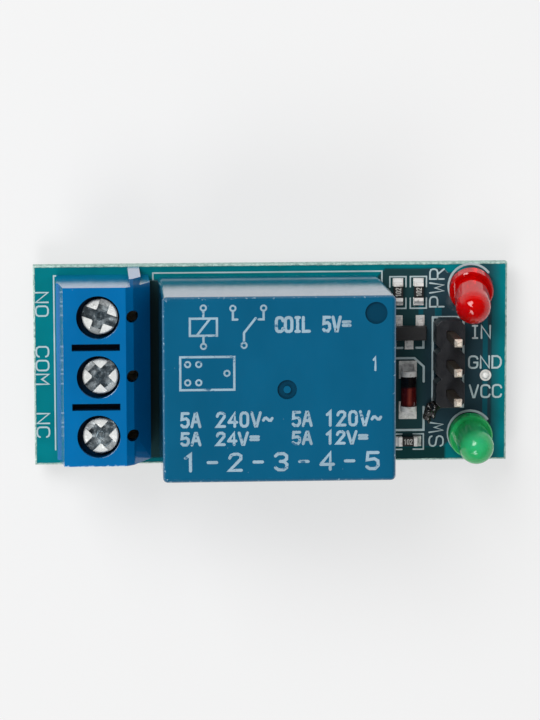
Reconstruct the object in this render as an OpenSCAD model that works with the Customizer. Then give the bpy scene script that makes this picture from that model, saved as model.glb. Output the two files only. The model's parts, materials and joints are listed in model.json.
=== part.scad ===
// One-channel relay module board: a changeover relay, a three-way screw terminal,
// a three-pin header, two lamps and the few chip parts that drive the coil.
// Frame: +X along the board from the terminal to the header, +Y across it, +Z out of
// the component side. The origin lies under the board's centre, at the trimmed lead tips.

/* [Board] */
// Thickness of the laminate
board_t = 1.6; // [1:0.1:2]
// Length of the trimmed leads below the board
lead_stub = 1.6; // [1.3:0.1:2.4]
// Broken edge that the V score leaves all round
score = 0.12; // [0.05:0.01:0.25]
// Bare board beyond the terminal block
left_margin = 2; // [0.6:0.1:4]
// Bare board beside the terminal block at its +Y end
upper_margin = 0.8; // [0.7:0.05:2]
// Bare board beside the terminal block at its -Y end
lower_margin = 1.5; // [0.8:0.05:2.5]
// Gap between the terminal block and the relay
relay_gap = 0.77; // [0.3:0.01:2]
// From the relay's side to the middle of the chip parts
chip_gap = 2.6; // [2.3:0.1:4]
// From the middle of the chip parts to the pin row
header_gap = 3.43; // [3.3:0.01:5]
// From the pin row to the middle of the lamps
lamp_gap = 1.96; // [1.5:0.01:4]
// Bare board beyond the middle of the lamps
right_margin = 3.24; // [2.4:0.01:5]
// Play between a lead and its hole
hole_slack = 0.07; // [0.05:0.01:0.2]
// Width of the tinned ring round a hole
ring_w = 0.4; // [0.25:0.01:0.5]
// Thickness of the tinned copper
copper_t = 0.05; // [0.03:0.01:0.1]
// Height of the solder under the board
solder_h = 1; // [0.6:0.1:1.2]
// Radius of the open via
via_r = 0.33; // [0.2:0.01:0.4]
// Width of the ring round the via
via_ring = 0.17; // [0.1:0.01:0.25]
// From the middle of the lamps to the via along the board
via_out = 1.4; // [1:0.05:1.6]
// From the middle of the header to the via across the board
via_down = 1.33; // [1:0.01:1.8]

/* [Terminal block] */
// Distance from pole to pole
pole_pitch = 5; // [5:0.01:5.2]
// Depth of the housing from the wire side to the back
block_depth = 7.9; // [7.8:0.1:9]
// Height of the housing
block_h = 10; // [9.9:0.1:12]
// How far the wire side leans in at the top
front_lean = 0.6; // [0.3:0.1:0.9]
// Height where the wire side starts to lean
front_break = 6.3; // [6:0.1:7]
// Height of the soft bend between the upright and the leaning wire side
front_bend = 0.2; // [0.1:0.05:0.5]
// Depth of the flat top
top_depth = 5.2; // [5:0.1:5.4]
// Height where the sloped back ends
back_h = 6; // [5:0.1:7]
// How far the back's soft shoulder reaches behind the flat top
shoulder_l = 0.65; // [0.4:0.05:0.8]
// How far the shoulder falls below the flat top
shoulder_drop = 0.7; // [0.5:0.05:0.9]
// From the wire side to the screws' axis
screw_inset = 3.66; // [3.6:0.01:3.8]
// Radius of the well round a screw head
well_r = 1.8; // [1.7:0.01:1.85]
// How far the wells sit towards the wire side of the screws
well_shift = 0.17; // [0:0.01:0.18]
// Thickness of the ledge that carries the head
ledge_t = 0.5; // [0.4:0.1:0.8]
// Width of the slots between the poles
slot_w = 0.58; // [0.4:0.01:0.7]
// Length of the slots between the poles
slot_l = 4; // [3:0.1:4.2]
// Depth of the slots between the poles
slot_d = 2.2; // [1:0.1:2.3]
// Wall between the slots and the sloped back
slot_wall = 0.5; // [0.3:0.05:0.9]
// Radius of the test hole behind each screw
probe_r = 0.5; // [0.3:0.01:0.6]
// Width of the wire entry
entry_w = 3; // [2.4:0.1:3.2]
// How far the mouth of an entry flares on each side
entry_flare = 0.3; // [0.1:0.05:0.4]
// Depth over which the mouth flares
flare_depth = 1; // [0.6:0.05:1.2]
// Width of the joining rib at its root
rib_w = 0.8; // [0.6:0.05:1]
// How much wider the rib is at its outer face
rib_spread = 0.2; // [0.1:0.05:0.3]
// Height of the joining rib out of the end wall
rib_out = 0.66; // [0.4:0.01:0.7]

/* [Clamp] */
// Radius of the screw's thread
thread_r = 1.25; // [1.15:0.01:1.25]
// Radius of the screw's head
head_r = 1.5; // [1.45:0.01:1.55]
// Thickness of the screw's head
head_t = 1.2; // [1:0.1:1.3]
// How far the head sits below the flat top
head_drop = 0.7; // [0.3:0.1:0.8]
// Width of the driver slot
drive_w = 0.9; // [0.6:0.05:1]
// Depth of the driver slot
drive_d = 0.55; // [0.3:0.05:0.7]
// Reach of the cross recess from the axis
cross_r = 1; // [0.8:0.05:1.1]
// Depth of the shallow channel that lengthens the cross arm
channel_d = 0.12; // [0.08:0.01:0.2]
// Radius of the rounding round the head's top
head_round = 0.15; // [0.1:0.01:0.25]
// Turn of each screw's slot
drive_turn = [-20, 45, 45]; // [-90:5:90]
// Length of the cage along the wire
cage_l = 3.3; // [3:0.1:3.4]
// Width of the cage across the wire
cage_w = 3.6; // [3.5:0.1:3.7]
// Wall of the cage
cage_wall = 0.6; // [0.4:0.05:0.6]
// Threaded bar at the top of the cage
cage_bar = 0.7; // [0.5:0.05:0.8]
// Room for the wire with the clamp open
wire_room = 2.7; // [2.4:0.1:2.8]
// Height of the open cage above the board
cage_lift = 0.6; // [0.4:0.1:0.8]
// Room between the contact bar and the cage's threaded bar
cage_tip = 0.15; // [0.1:0.01:0.2]
// Thickness of the contact bar
bar_t = 0.7; // [0.5:0.05:0.8]
// Width of the contact bar
bar_w = 2.2; // [1.6:0.1:2.3]
// How far the contact bar reaches into the wall in front of the cage
bar_seat = 0.45; // [0.2:0.05:0.6]
// Thickness of the contact's leg along X
leg_t = 0.8; // [0.5:0.05:0.9]
// Width of the contact's leg along Y
leg_w = 1; // [0.6:0.05:1.1]
// From the wire side to the middle of the legs
leg_inset = 6.35; // [6.2:0.01:6.5]
// Running clearance round the thread
thread_play = 0.06; // [0.04:0.01:0.09]
// Sliding clearance round the cage
cage_play = 0.1; // [0.08:0.01:0.15]

/* [Relay case] */
// Length of the relay along X
relay_l = 19.1; // [19:0.1:21]
// Width of the relay across Y
relay_w = 15.3; // [15.2:0.1:16.4]
// Height of the relay's top above the board
relay_h = 15.7; // [15.6:0.1:17]
// Wall of the cover
cover_wall = 0.85; // [0.6:0.05:0.9]
// Radius of the cover's edges
cover_edge = 0.4; // [0.2:0.05:0.6]
// Gap between the cover's rim and the board
rim_gap = 0.3; // [0.2:0.05:0.45]
// Thickness of the base plate
base_t = 1.8; // [1.4:0.1:2]
// Height of the base's stand-off feet
foot_h = 0.5; // [0.45:0.05:0.7]
// Radius of the stand-off feet
foot_r = 0.45; // [0.3:0.05:0.6]
// From the inside of the cover to the nearest side of a foot
foot_inset = 1.9; // [1.6:0.05:2.5]
// Radius of the vent dimple in the top
dimple_r = 0.91; // [0.6:0.01:1.2]
// From the cover's corner to the dimple along X
dimple_x = 1.65; // [1.4:0.05:2.5]
// From the cover's corner to the dimple along Y
dimple_y = 1.42; // [1.35:0.01:2.5]
// Radius of the moulding gate mark
gate_r = 0.8; // [0.5:0.05:1]
// Radius of the nub inside the gate mark
nub_r = 0.3; // [0.2:0.05:0.4]
// Depth of both marks
mark_d = 0.25; // [0.1:0.01:0.3]
// Gate mark's distance from the middle of the top along X
gate_x = 0.61; // [0:0.01:1.5]

/* [Relay mechanism] */
// Thickness of the iron yoke
yoke_t = 1; // [0.8:0.05:1.2]
// Width of the iron yoke
yoke_w = 7.2; // [6:0.1:8]
// Gap between the cover and the common terminal behind the yoke
yoke_gap = 0.4; // [0.3:0.05:0.6]
// Radius of the iron core
core_r = 2; // [1.6:0.05:2.2]
// Radius of the pole face
pole_r = 3.2; // [2.8:0.05:3.4]
// Thickness of the pole face
pole_t = 0.6; // [0.5:0.05:0.8]
// Thickness of a bobbin flange
flange_t = 0.7; // [0.5:0.05:0.9]
// Wall of the bobbin's tube
tube_wall = 0.6; // [0.4:0.05:0.7]
// Outer radius of the winding
winding_r = 4.7; // [4.2:0.05:4.8]
// Reach of the bobbin's flanges beyond the winding
flange_out = 0.15; // [0.1:0.05:0.25]
// Room between the winding and the yoke's leg
coil_gap = 0.95; // [0.8:0.05:1.1]
// Clearance between the core and the bobbin, and between the bobbin and its winding
core_play = 0.05; // [0.03:0.01:0.08]
// Wall round a coil lead in the bobbin's lugs
lug_wall = 0.4; // [0.3:0.05:0.45]
// Length of a coil lead above its lug
lug_pin = 0.8; // [0.5:0.1:1.2]
// Air gap between the pole face and the open armature
air_gap = 0.5; // [0.5:0.01:0.6]
// Thickness of the armature
armature_t = 1; // [0.8:0.05:1]
// Width of the armature
armature_w = 9; // [7:0.1:9.4]
// Reach of the armature beyond the pole face
armature_nose = 1.2; // [0.8:0.1:1.4]
// Thickness of the contact spring
spring_t = 0.15; // [0.1:0.01:0.2]
// Width of the contact spring
spring_w = 3.2; // [2.4:0.1:4]
// Radius of a contact button
button_r = 1.1; // [0.9:0.05:1.2]
// Height of a contact button
button_h = 0.35; // [0.25:0.05:0.4]
// Height of the button under the upper contact strip
upper_button_h = 0.28; // [0.2:0.01:0.35]
// From the cover's inside to the middle of the buttons
button_inset = 1.7; // [1.5:0.05:2]
// Metal left round a button
button_edge = 0.1; // [0.05:0.01:0.2]
// Travel of the moving contact
contact_gap = 0.86; // [0.86:0.01:1]
// Thickness of the fixed contact strips
strip_t = 0.4; // [0.3:0.05:0.4]
// Width of the fixed contact strips
strip_w = 1; // [0.8:0.05:1.2]
// Thickness of the strips' bent tabs
strip_tab = 0.3; // [0.2:0.01:0.35]
// Room between the upper contact strip and the cover's top
strip_room = 0.27; // [0.2:0.01:0.5]
// Width of the base's holder round a fixed contact's lead
holder_w = 1.1; // [0.8:0.05:1.2]
// Wall of the holder towards the coil
holder_wall = 0.6; // [0.4:0.05:0.7]
// Gap between the holders and the lower contact strip
holder_gap = 2.86; // [1:0.01:4]
// Thickness of the common terminal
common_t = 0.3; // [0.2:0.05:0.4]
// How far the common terminal ends below the armature
common_drop = 0.4; // [0.2:0.05:1]
// From the relay's terminal end to the fixed contacts' leads
fixed_inset = 3.55; // [3.4:0.05:4]
// From the relay's side to the outer leads
side_inset = 1.65; // [1.6:0.05:1.9]
// From the relay's pivot end to the coil leads
coil_inset = 3.35; // [3.2:0.05:3.6]
// Side of a coil lead
coil_lead = 0.6; // [0.4:0.05:0.6]

/* [Pin header] */
// Pin spacing
pin_pitch = 2.54; // [2.5:0.01:2.6]
// Side of a pin
pin_side = 0.64; // [0.5:0.01:0.7]
// Width and height of the header's body
strip_side = 2.5; // [2.3:0.05:2.6]
// Height of the pin tips above the board
pin_rise = 8.6; // [6:0.1:12]
// Length of a pin's tapered tip
pin_taper = 0.5; // [0.3:0.05:0.8]
// Corner cut between two pins
strip_notch = 0.45; // [0.3:0.05:0.6]
// Shift of the header across the board
header_shift = 0.1; // [-0.3:0.05:0.3]

/* [Lamps] */
// Radius of a lamp's body
lamp_r = 1.5; // [1.4:0.05:1.5]
// Radius of a lamp's flange
lamp_flange_r = 1.9; // [1.8:0.05:2]
// Thickness of a lamp's flange
lamp_flange_t = 1; // [0.8:0.05:1.1]
// Height of a lamp
lamp_h = 5.3; // [4.8:0.1:6]
// From the board's long edges to the middle of the lamps
lamp_inset = 2.225; // [2.1:0.025:2.5]
// Spacing of a lamp's legs
lamp_pitch = 2.54; // [2.5:0.01:2.6]
// Side of a lamp's leg
lamp_leg = 0.45; // [0.35:0.05:0.5]
// Bevel of the flange's upper edge
flange_bevel = 0.12; // [0.05:0.01:0.2]
// How far the frame's legs reach below the flange
frame_sink = 0.35; // [0.3:0.01:0.4]
// Height of the bend in the frame's legs
frame_bend = 0.7; // [0.5:0.05:0.8]
// Height of the frame's neck
frame_neck = 1.2; // [1.1:0.05:1.4]
// Height of the frame inside the lens
frame_h = 2.4; // [2.1:0.05:2.8]
// Length of the frame's cup side
cup_l = 1.15; // [0.9:0.05:1.2]
// Depth of the chip's cup
cup_d = 0.2; // [0.1:0.01:0.3]
// Width of the frame's wire side
wire_post = 0.55; // [0.4:0.05:0.6]
// Gap between the two sides of the frame
frame_gap = 0.3; // [0.2:0.05:0.4]
// Lean of the power lamp towards -Y and towards -X
power_lean = [19, 4]; // [-5:1:20]
// Lean of the switching lamp towards -Y and towards -X
switch_lean = [8, -2]; // [-5:1:20]

/* [Chip parts] */
// Length of a chip resistor
chip_l = 1.6; // [1.4:0.05:1.8]
// Width of a chip resistor
chip_w = 0.8; // [0.7:0.05:0.9]
// Height of a chip resistor
chip_h = 0.48; // [0.4:0.01:0.6]
// Length of a chip resistor's metal end
chip_end = 0.3; // [0.2:0.05:0.4]
// Spacing of the two upright resistors
chip_pitch = 1.78; // [1.5:0.01:2]
// From the board's +Y edge to the middle of the upright resistors
chip_inset = 2.5; // [2.2:0.05:2.8]
// From the board's -Y edge to the middle of the lying resistor
low_chip_inset = 1.7; // [1.4:0.05:1.9]
// Reach of a solder fillet beyond a metal end
fillet_l = 0.38; // [0.2:0.01:0.45]
// Length, width and height of the transistor's body
sot_body = [2.92, 1.3, 1]; // [0.9:0.01:3]
// Height of the transistor's body above the board
sot_lift = 0.1; // [0.08:0.01:0.2]
// Width of a transistor leg
sot_leg_w = 0.42; // [0.3:0.01:0.5]
// Thickness of a transistor leg
sot_leg_t = 0.12; // [0.08:0.01:0.18]
// Reach of the transistor's feet beyond its body
sot_reach = 0.55; // [0.45:0.01:0.7]
// Spacing of the transistor's paired legs
sot_pitch = 1.9; // [1.8:0.01:2]
// From the board's +Y edge to the middle of the transistor
sot_inset = 6.05; // [5.9:0.05:6.3]
// From the middle of the chip parts to the middle of the transistor
sot_shift = 0.1; // [-0.1:0.05:0.2]
// Width of the transistor's pads
sot_pad_w = 0.75; // [0.6:0.05:0.8]
// Length of the transistor's pads
sot_pad_l = 1; // [0.8:0.05:1.1]
// Length of the glass diode
diode_l = 3.5; // [3.3:0.05:3.7]
// Radius of the glass diode's ends
diode_r = 0.7; // [0.6:0.01:0.75]
// Length of a diode end cap
diode_cap = 0.45; // [0.3:0.05:0.55]
// From the board's -Y edge to the middle of the diode
diode_inset = 6.2; // [6.1:0.01:6.3]
// Side of the diode's pads
melf_pad = 1.55; // [1.4:0.05:1.6]
// How far a diode pad reaches under the glass
melf_under = 0.3; // [0.2:0.05:0.4]
// Thickness of the diode's silicon chip
die_t = 0.3; // [0.2:0.05:0.4]

/* [Hidden] */
$fn = 48;
HULL_FN = 24;
CUT = 1; // overshoot of a cut beyond the face that it opens

// Chain of places along X, from the terminal end
board_l = left_margin + block_depth + relay_gap + relay_l + chip_gap + header_gap
    + lamp_gap + right_margin;
block_x = -board_l / 2 + left_margin;
relay_x = block_x + block_depth + relay_gap + relay_l / 2;
chip_x = relay_x + relay_l / 2 + chip_gap;
header_x = chip_x + header_gap;
lamp_x = header_x + lamp_gap;
board_top = lead_stub + board_t;

// Chain of places across Y, from the lower edge
POLES = [1, 0, -1];
block_w = len(POLES) * pole_pitch;
board_w = lower_margin + block_w + upper_margin;
block_shift = (lower_margin - upper_margin) / 2;

// Terminal block
screw_x = block_x + screw_inset;
leg_x = block_x + leg_inset;
function pole_y(i) = block_shift + POLES[i] * pole_pitch;
head_z = block_h - head_drop - head_t;
bar_z = cage_lift + cage_wall + wire_room;
bar_top = bar_z + bar_t;
cage_top = head_z - ledge_t;
cage_h = cage_wall + wire_room + bar_t + cage_tip + cage_bar;
shaft_w = cage_w + 2 * cage_play;
shaft_l = cage_l + 2 * cage_play;
back_inset = front_lean + top_depth; // where the flat top meets the sloped back

// Relay, in heights above the board
cover_top_t = cover_wall;
base_top = foot_h + base_t;
room_l = relay_l - 2 * cover_wall;
room_w = relay_w - 2 * cover_wall;
yoke_x = relay_l / 2 - cover_wall - yoke_gap - common_t; // outer face of the yoke
pivot_x = yoke_x - yoke_t;
coil_x = pivot_x - coil_gap - winding_r;
flange_r = winding_r + flange_out;
button_x = -relay_l / 2 + cover_wall + button_inset;
// Down from the cover: upper strip, its button, the moving contact, the armature, the pole
nc_strip_z = relay_h - cover_top_t - strip_room - strip_tab;
nc_face = nc_strip_z - upper_button_h;
spring_z = nc_face - button_h - spring_t;
armature_z = spring_z - armature_t;
pole_z = armature_z - air_gap;
no_face = spring_z - button_h - contact_gap;
no_strip_z = no_face - button_h - strip_tab;
// Up from the base: the yoke's foot, then the bobbin
flange_z = base_top + yoke_t;
bobbin_h = pole_z - pole_t - flange_z;
tube_r = core_r + core_play + tube_wall;
fixed_x = -relay_l / 2 + fixed_inset;
side_y = relay_w / 2 - side_inset;
coil_lead_x = relay_l / 2 - coil_inset;
common_x = yoke_x + common_t / 2;
spring_tip = button_x - button_r - button_edge;

// Every lead through the board: [x, y, side along X, side along Y]
TERMINAL_LEADS = [for (i = [0:2]) [leg_x, pole_y(i), leg_t, leg_w]];
RELAY_LEADS = concat(
    [for (s = [-1, 1]) [relay_x + fixed_x, s * side_y, strip_w, strip_t]],
    [for (s = [-1, 1]) [relay_x + coil_lead_x, s * side_y, coil_lead, coil_lead]],
    [[relay_x + common_x, 0, common_t, strip_w]]
);
HEADER_LEADS = [for (k = [-1:1]) [header_x, header_shift + k * pin_pitch, pin_side, pin_side]];
lamp_out = board_w / 2 - lamp_inset;
LAMP_Y = [header_shift + lamp_out, header_shift - lamp_out];
LAMP_LEADS = [
    for (y = LAMP_Y, s = [-1, 1]) [lamp_x + s * lamp_pitch / 2, y, lamp_leg, lamp_leg]
];
LEADS = concat(TERMINAL_LEADS, RELAY_LEADS, HEADER_LEADS, LAMP_LEADS);
via_place = [lamp_x + via_out, header_shift - via_down];
function hole_r(lead) = norm([lead[2], lead[3]]) / 2 + hole_slack;

// Chip parts: [x, y, turn about Z]
chip_row = board_w / 2 - chip_inset;
CHIPS = [
    [chip_x - chip_pitch / 2, chip_row, 90],
    [chip_x + chip_pitch / 2, chip_row, 90],
    [chip_x, -board_w / 2 + low_chip_inset, 0]
];
fillet_h = chip_h * 0.75;
fillet_lip = copper_t * 0.8;
chip_pad = chip_end + fillet_l;
SOT_FEET = [[-sot_pitch / 2, 1], [sot_pitch / 2, 1], [0, -1]];
sot_x = chip_x + sot_shift;
sot_y = board_w / 2 - sot_inset;
sot_foot = sot_body[1] / 2 + sot_reach;
diode_y = board_w / 2 - diode_inset;
stud_r = diode_r * 0.55;
glass_l = diode_l - 2 * diode_cap;

// Shared shapes

// A square bar from one height to another, standing on the plan point at
module post(at, size, z0, z1) {
    translate([at[0] - size[0] / 2, at[1] - size[1] / 2, z0])
        cube([size[0], size[1], z1 - z0]);
}

// A plan outline with its long corners cut at 45 degrees
module cut_corners(l, w, c) {
    polygon([
        [-l / 2 + c, -w / 2], [l / 2 - c, -w / 2], [l / 2, -w / 2 + c], [l / 2, w / 2 - c],
        [l / 2 - c, w / 2], [-l / 2 + c, w / 2], [-l / 2, w / 2 - c], [-l / 2, -w / 2 + c]
    ]);
}

// The metal of one lead, from its trimmed tip up to a height above the board
module lead_bar(lead, rise) {
    post([lead[0], lead[1]], [lead[2], lead[3]], 0, board_top + rise);
}

module on_board() {
    translate([0, 0, board_top]) children();
}

// Board

module circuit_board() {
    color("teal") difference() {
        intersection() {
            translate([0, board_w / 2, lead_stub + board_t / 2])
                rotate([90, 0, 0]) linear_extrude(board_w) cut_corners(board_l, board_t, score);
            translate([-board_l / 2, 0, lead_stub + board_t / 2])
                rotate([90, 0, 90]) linear_extrude(board_l) cut_corners(board_w, board_t, score);
        }
        for (lead = LEADS)
            translate([lead[0], lead[1], lead_stub - CUT])
                cylinder(h = board_t + 2 * CUT, r = hole_r(lead));
        translate([via_place[0], via_place[1], lead_stub - CUT])
            cylinder(h = board_t + 2 * CUT, r = via_r);
    }
}

module ring(at, r_in, r_out) {
    for (z = [lead_stub - copper_t, board_top])
        translate([at[0], at[1], z]) difference() {
            cylinder(h = copper_t, r = r_out);
            translate([0, 0, -CUT]) cylinder(h = copper_t + 2 * CUT, r = r_in);
        }
}

// The ring under a part would lift it, so leads under a seated part keep the lower ring only
module lower_ring(at, r_in, r_out) {
    intersection() {
        ring(at, r_in, r_out);
        translate([at[0] - r_out, at[1] - r_out, 0]) cube([2 * r_out, 2 * r_out, lead_stub]);
    }
}

module tinned_pads() {
    color("silver") {
        for (lead = LEADS)
            lower_ring([lead[0], lead[1]], hole_r(lead), hole_r(lead) + ring_w);
        ring(via_place, via_r, via_r + via_ring);
        on_board() {
            for (c = CHIPS) translate([c[0], c[1], 0]) rotate([0, 0, c[2]])
                for (s = [-1, 1]) post([s * (chip_l / 2 + fillet_l - chip_pad / 2), 0],
                    [chip_pad, chip_w + 2 * copper_t], 0, copper_t);
            for (f = SOT_FEET)
                post([sot_x + f[0], sot_y + f[1] * (sot_foot + sot_leg_t - sot_pad_l / 3)],
                    [sot_pad_w, sot_pad_l], 0, copper_t);
            for (s = [-1, 1])
                post([chip_x, -diode_y + s * (diode_l / 2 - diode_cap - melf_under + melf_pad / 2)],
                    [melf_pad, melf_pad], 0, copper_t);
        }
    }
}

// Concave cone of solder that climbs a lead: its radius falls with the square of the height
module solder_cone(lead) {
    foot = hole_r(lead) + ring_w * 0.9;
    tip = hole_r(lead);
    steps = 6;
    translate([lead[0], lead[1], lead_stub - copper_t]) difference() {
        rotate_extrude() polygon(concat(
            [[0, 0]],
            [for (i = [0:steps])
                [tip + (foot - tip) * pow(1 - i / steps, 2), -solder_h * i / steps]],
            [[0, -solder_h]]
        ));
        post([0, 0], [lead[2], lead[3]], -solder_h - CUT, CUT);
    }
}

module lead_solder() {
    color("lightgrey") for (lead = LEADS) solder_cone(lead);
}

// Solder fillet against an end face: a curved wedge, steep at the metal
module fillet(l, w, h) {
    steps = 5;
    rotate([90, 0, 0]) translate([0, 0, -w / 2]) linear_extrude(w) polygon(concat(
        [[0, 0]],
        [for (i = [0:steps]) [l * i / steps, h * pow(1 - i / steps, 2) + fillet_lip]],
        [[l, 0]]
    ));
}

module chip_solder() {
    color("lightgrey") on_board() translate([0, 0, copper_t]) {
        for (c = CHIPS) translate([c[0], c[1], 0]) rotate([0, 0, c[2]])
            for (s = [0, 1]) mirror([s, 0, 0])
                translate([chip_l / 2, 0, 0]) fillet(fillet_l, chip_w, fillet_h);
        for (s = [-1, 1]) translate([chip_x, -diode_y + s * diode_l / 2, 0])
            rotate([0, 0, s * 90]) fillet(melf_pad / 3, diode_r * 1.5, diode_r * 0.9);
        for (f = SOT_FEET)
            translate([sot_x + f[0], sot_y + f[1] * sot_foot, 0])
                rotate([0, 0, f[1] * 90]) fillet(sot_leg_t * 1.3, sot_leg_w, sot_leg_t);
    }
}

// Terminal block

// Section across the block, with X from the wire side and Y as height
module block_section() {
    polygon([
        [0, 0], [block_depth, 0], [block_depth, back_h],
        [back_inset + shoulder_l, block_h - shoulder_drop], [back_inset, block_h],
        [front_lean, block_h], [front_lean / 3, front_break + front_bend], [0, front_break]
    ]);
}

// The rib's plan outline, with its root on the X axis
module rib_outline() {
    polygon([
        [-rib_w / 2, 0], [rib_w / 2, 0], [(rib_w + rib_spread) / 2, rib_out],
        [-(rib_w + rib_spread) / 2, rib_out]
    ]);
}

module block_rib() {
    intersection() {
        translate([back_inset + rib_w, block_w / 2, 0])
            linear_extrude(block_h) rib_outline();
        rotate([90, 0, 0]) translate([0, 0, -block_w]) linear_extrude(2 * block_w)
            block_section();
    }
}

module wire_entry() {
    low = cage_lift + cage_wall;
    skin = 0.01; // thickness of the hull's end plates
    hull() {
        translate([-skin, -entry_w / 2 - entry_flare, low - entry_flare])
            cube([skin, entry_w + 2 * entry_flare, wire_room + 2 * entry_flare]);
        translate([flare_depth, -entry_w / 2, low]) cube([skin, entry_w, wire_room]);
    }
    translate([flare_depth / 2, -entry_w / 2, low])
        cube([screw_inset - flare_depth / 2, entry_w, wire_room]);
}

module pole_cuts() {
    wire_entry();
    translate([screw_inset, 0, 0]) {
        translate([-shaft_l / 2, -shaft_w / 2, -CUT]) cube([shaft_l, shaft_w, cage_top + CUT]);
        cylinder(h = block_h, r = thread_r + thread_play);
        translate([-well_shift, 0, head_z]) cylinder(h = block_h, r = well_r);
    }
    translate([0, 0, bar_z]) contact_plan(bar_t);
    post([leg_inset, 0], [leg_t, leg_w], -CUT, bar_z + bar_t);
    translate([leg_inset, 0, bar_z]) cylinder(h = block_h, r = probe_r);
}

// The flat bar that runs through the cage and out over the leg
module contact_plan(t) {
    front = screw_inset - shaft_l / 2 - bar_seat;
    translate([front, -bar_w / 2, 0]) cube([leg_inset + leg_t / 2 - front, bar_w, t]);
}

module terminal_housing() {
    color("royalblue") on_board() translate([block_x, block_shift, 0]) difference() {
        union() {
            rotate([90, 0, 0]) translate([0, 0, -block_w / 2]) linear_extrude(block_w)
                block_section();
            block_rib();
        }
        for (p = POLES) translate([0, p * pole_pitch, 0]) pole_cuts();
        for (s = [-1, 1])
            translate([back_inset - slot_wall - slot_l, s * pole_pitch / 2 - slot_w / 2,
                block_h - slot_d]) cube([slot_l, slot_w, slot_d + CUT]);
    }
}

module contact_bar(i) {
    color("gainsboro") {
        on_board() translate([block_x, pole_y(i), bar_z]) contact_plan(bar_t);
        lead_bar(TERMINAL_LEADS[i], bar_z + bar_t);
    }
}

module clamp_cage(i) {
    color("silver") on_board() translate([screw_x, pole_y(i), cage_lift]) difference() {
        post([0, 0], [cage_l, cage_w], 0, cage_h);
        post([0, 0], [cage_l + CUT, cage_w - 2 * cage_wall], cage_wall, cage_h - cage_bar);
        cylinder(h = 2 * cage_h, r = thread_r + thread_play);
    }
}

// Driver recess: a full slot, a shorter cross arm with a shallow channel, and a centre pit
module drive_recess() {
    post([0, 0], [3 * head_r, drive_w], -drive_d, CUT);
    post([0, 0], [drive_w, 2 * cross_r], -drive_d, CUT);
    post([0, 0], [drive_w, 3 * head_r], -channel_d, CUT);
    translate([0, 0, -head_t * 0.8])
        cylinder(h = head_t * 0.8, r1 = drive_w / 6, r2 = drive_w * 0.8);
}

module clamp_screw(i) {
    color("whitesmoke") on_board() translate([screw_x, pole_y(i), 0]) difference() {
        union() {
            translate([0, 0, bar_top]) cylinder(h = head_z - bar_top + head_round, r = thread_r);
            translate([0, 0, head_z]) rotate_extrude() polygon([
                [0, 0], [head_r, 0], [head_r, head_t - head_round],
                [head_r - head_round, head_t], [0, head_t]
            ]);
        }
        translate([0, 0, head_z + head_t]) rotate([0, 0, drive_turn[i]]) drive_recess();
    }
}

// Relay, drawn about its own centre with heights from the board

module in_relay() {
    on_board() translate([relay_x, 0, 0]) children();
}

module cover_shell() {
    c = cover_edge;
    hull() {
        for (x = [-1, 1], y = [-1, 1]) {
            translate([x * (relay_l / 2 - c), y * (relay_w / 2 - c), relay_h - c])
                sphere(r = c, $fn = HULL_FN);
            translate([x * (relay_l / 2 - c), y * (relay_w / 2 - c), rim_gap])
                cylinder(h = c, r = c, $fn = HULL_FN);
        }
        post([0, 0], [relay_l - 2 * c, relay_w - 2 * c], relay_h - c, relay_h);
    }
}

module relay_cover() {
    color("steelblue") in_relay() difference() {
        cover_shell();
        post([0, 0], [room_l, room_w], -CUT, relay_h - cover_top_t);
        translate([relay_l / 2 - dimple_x, relay_w / 2 - dimple_y, relay_h - mark_d])
            cylinder(h = CUT, r = dimple_r);
        translate([gate_x, 0, relay_h - mark_d]) difference() {
            cylinder(h = CUT, r = gate_r);
            translate([0, 0, -CUT]) cylinder(h = 2 * CUT, r = nub_r);
        }
    }
}

// Upright holder of one fixed contact's lead, part of the base moulding
module lead_holder(s) {
    inner = side_y - holder_w;
    translate([-room_l / 2, s > 0 ? inner : -room_w / 2, base_top])
        cube([fixed_x + strip_w / 2 + holder_wall + room_l / 2, room_w / 2 - inner,
            no_strip_z - holder_gap - base_top]);
}

module relay_base() {
    color("dimgray") in_relay() difference() {
        union() {
            post([0, 0], [room_l, room_w], foot_h, base_top);
            for (x = [-1, 1], y = [-1, 1])
                translate([x * (room_l / 2 - foot_r), y * (room_w / 2 - foot_r - foot_inset), 0])
                    cylinder(h = foot_h + foot_r / 4, r = foot_r);
            for (s = [-1, 1]) lead_holder(s);
        }
        for (lead = RELAY_LEADS)
            post([lead[0] - relay_x, lead[1]], [lead[2], lead[3]], -CUT, relay_h);
    }
}

module relay_yoke() {
    color("slategray") in_relay() difference() {
        union() {
            post([pivot_x + yoke_t / 2, 0], [yoke_t, yoke_w], base_top, armature_z);
            translate([coil_x - pole_r, -yoke_w / 2, base_top])
                cube([yoke_x - coil_x + pole_r, yoke_w, yoke_t]);
        }
        translate([coil_x, 0, base_top - CUT])
            cylinder(h = 2 * CUT + yoke_t, r = core_r + core_play / 2);
    }
}

module coil_core() {
    color("lightslategray") in_relay() translate([coil_x, 0, 0]) {
        translate([0, 0, base_top]) cylinder(h = pole_z - base_top, r = core_r);
        translate([0, 0, pole_z - pole_t]) cylinder(h = pole_t, r = pole_r);
    }
}

module bobbin_flange(z) {
    translate([-flange_r, -flange_r, z]) cube([2 * flange_r, 2 * flange_r, flange_t]);
}

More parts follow.
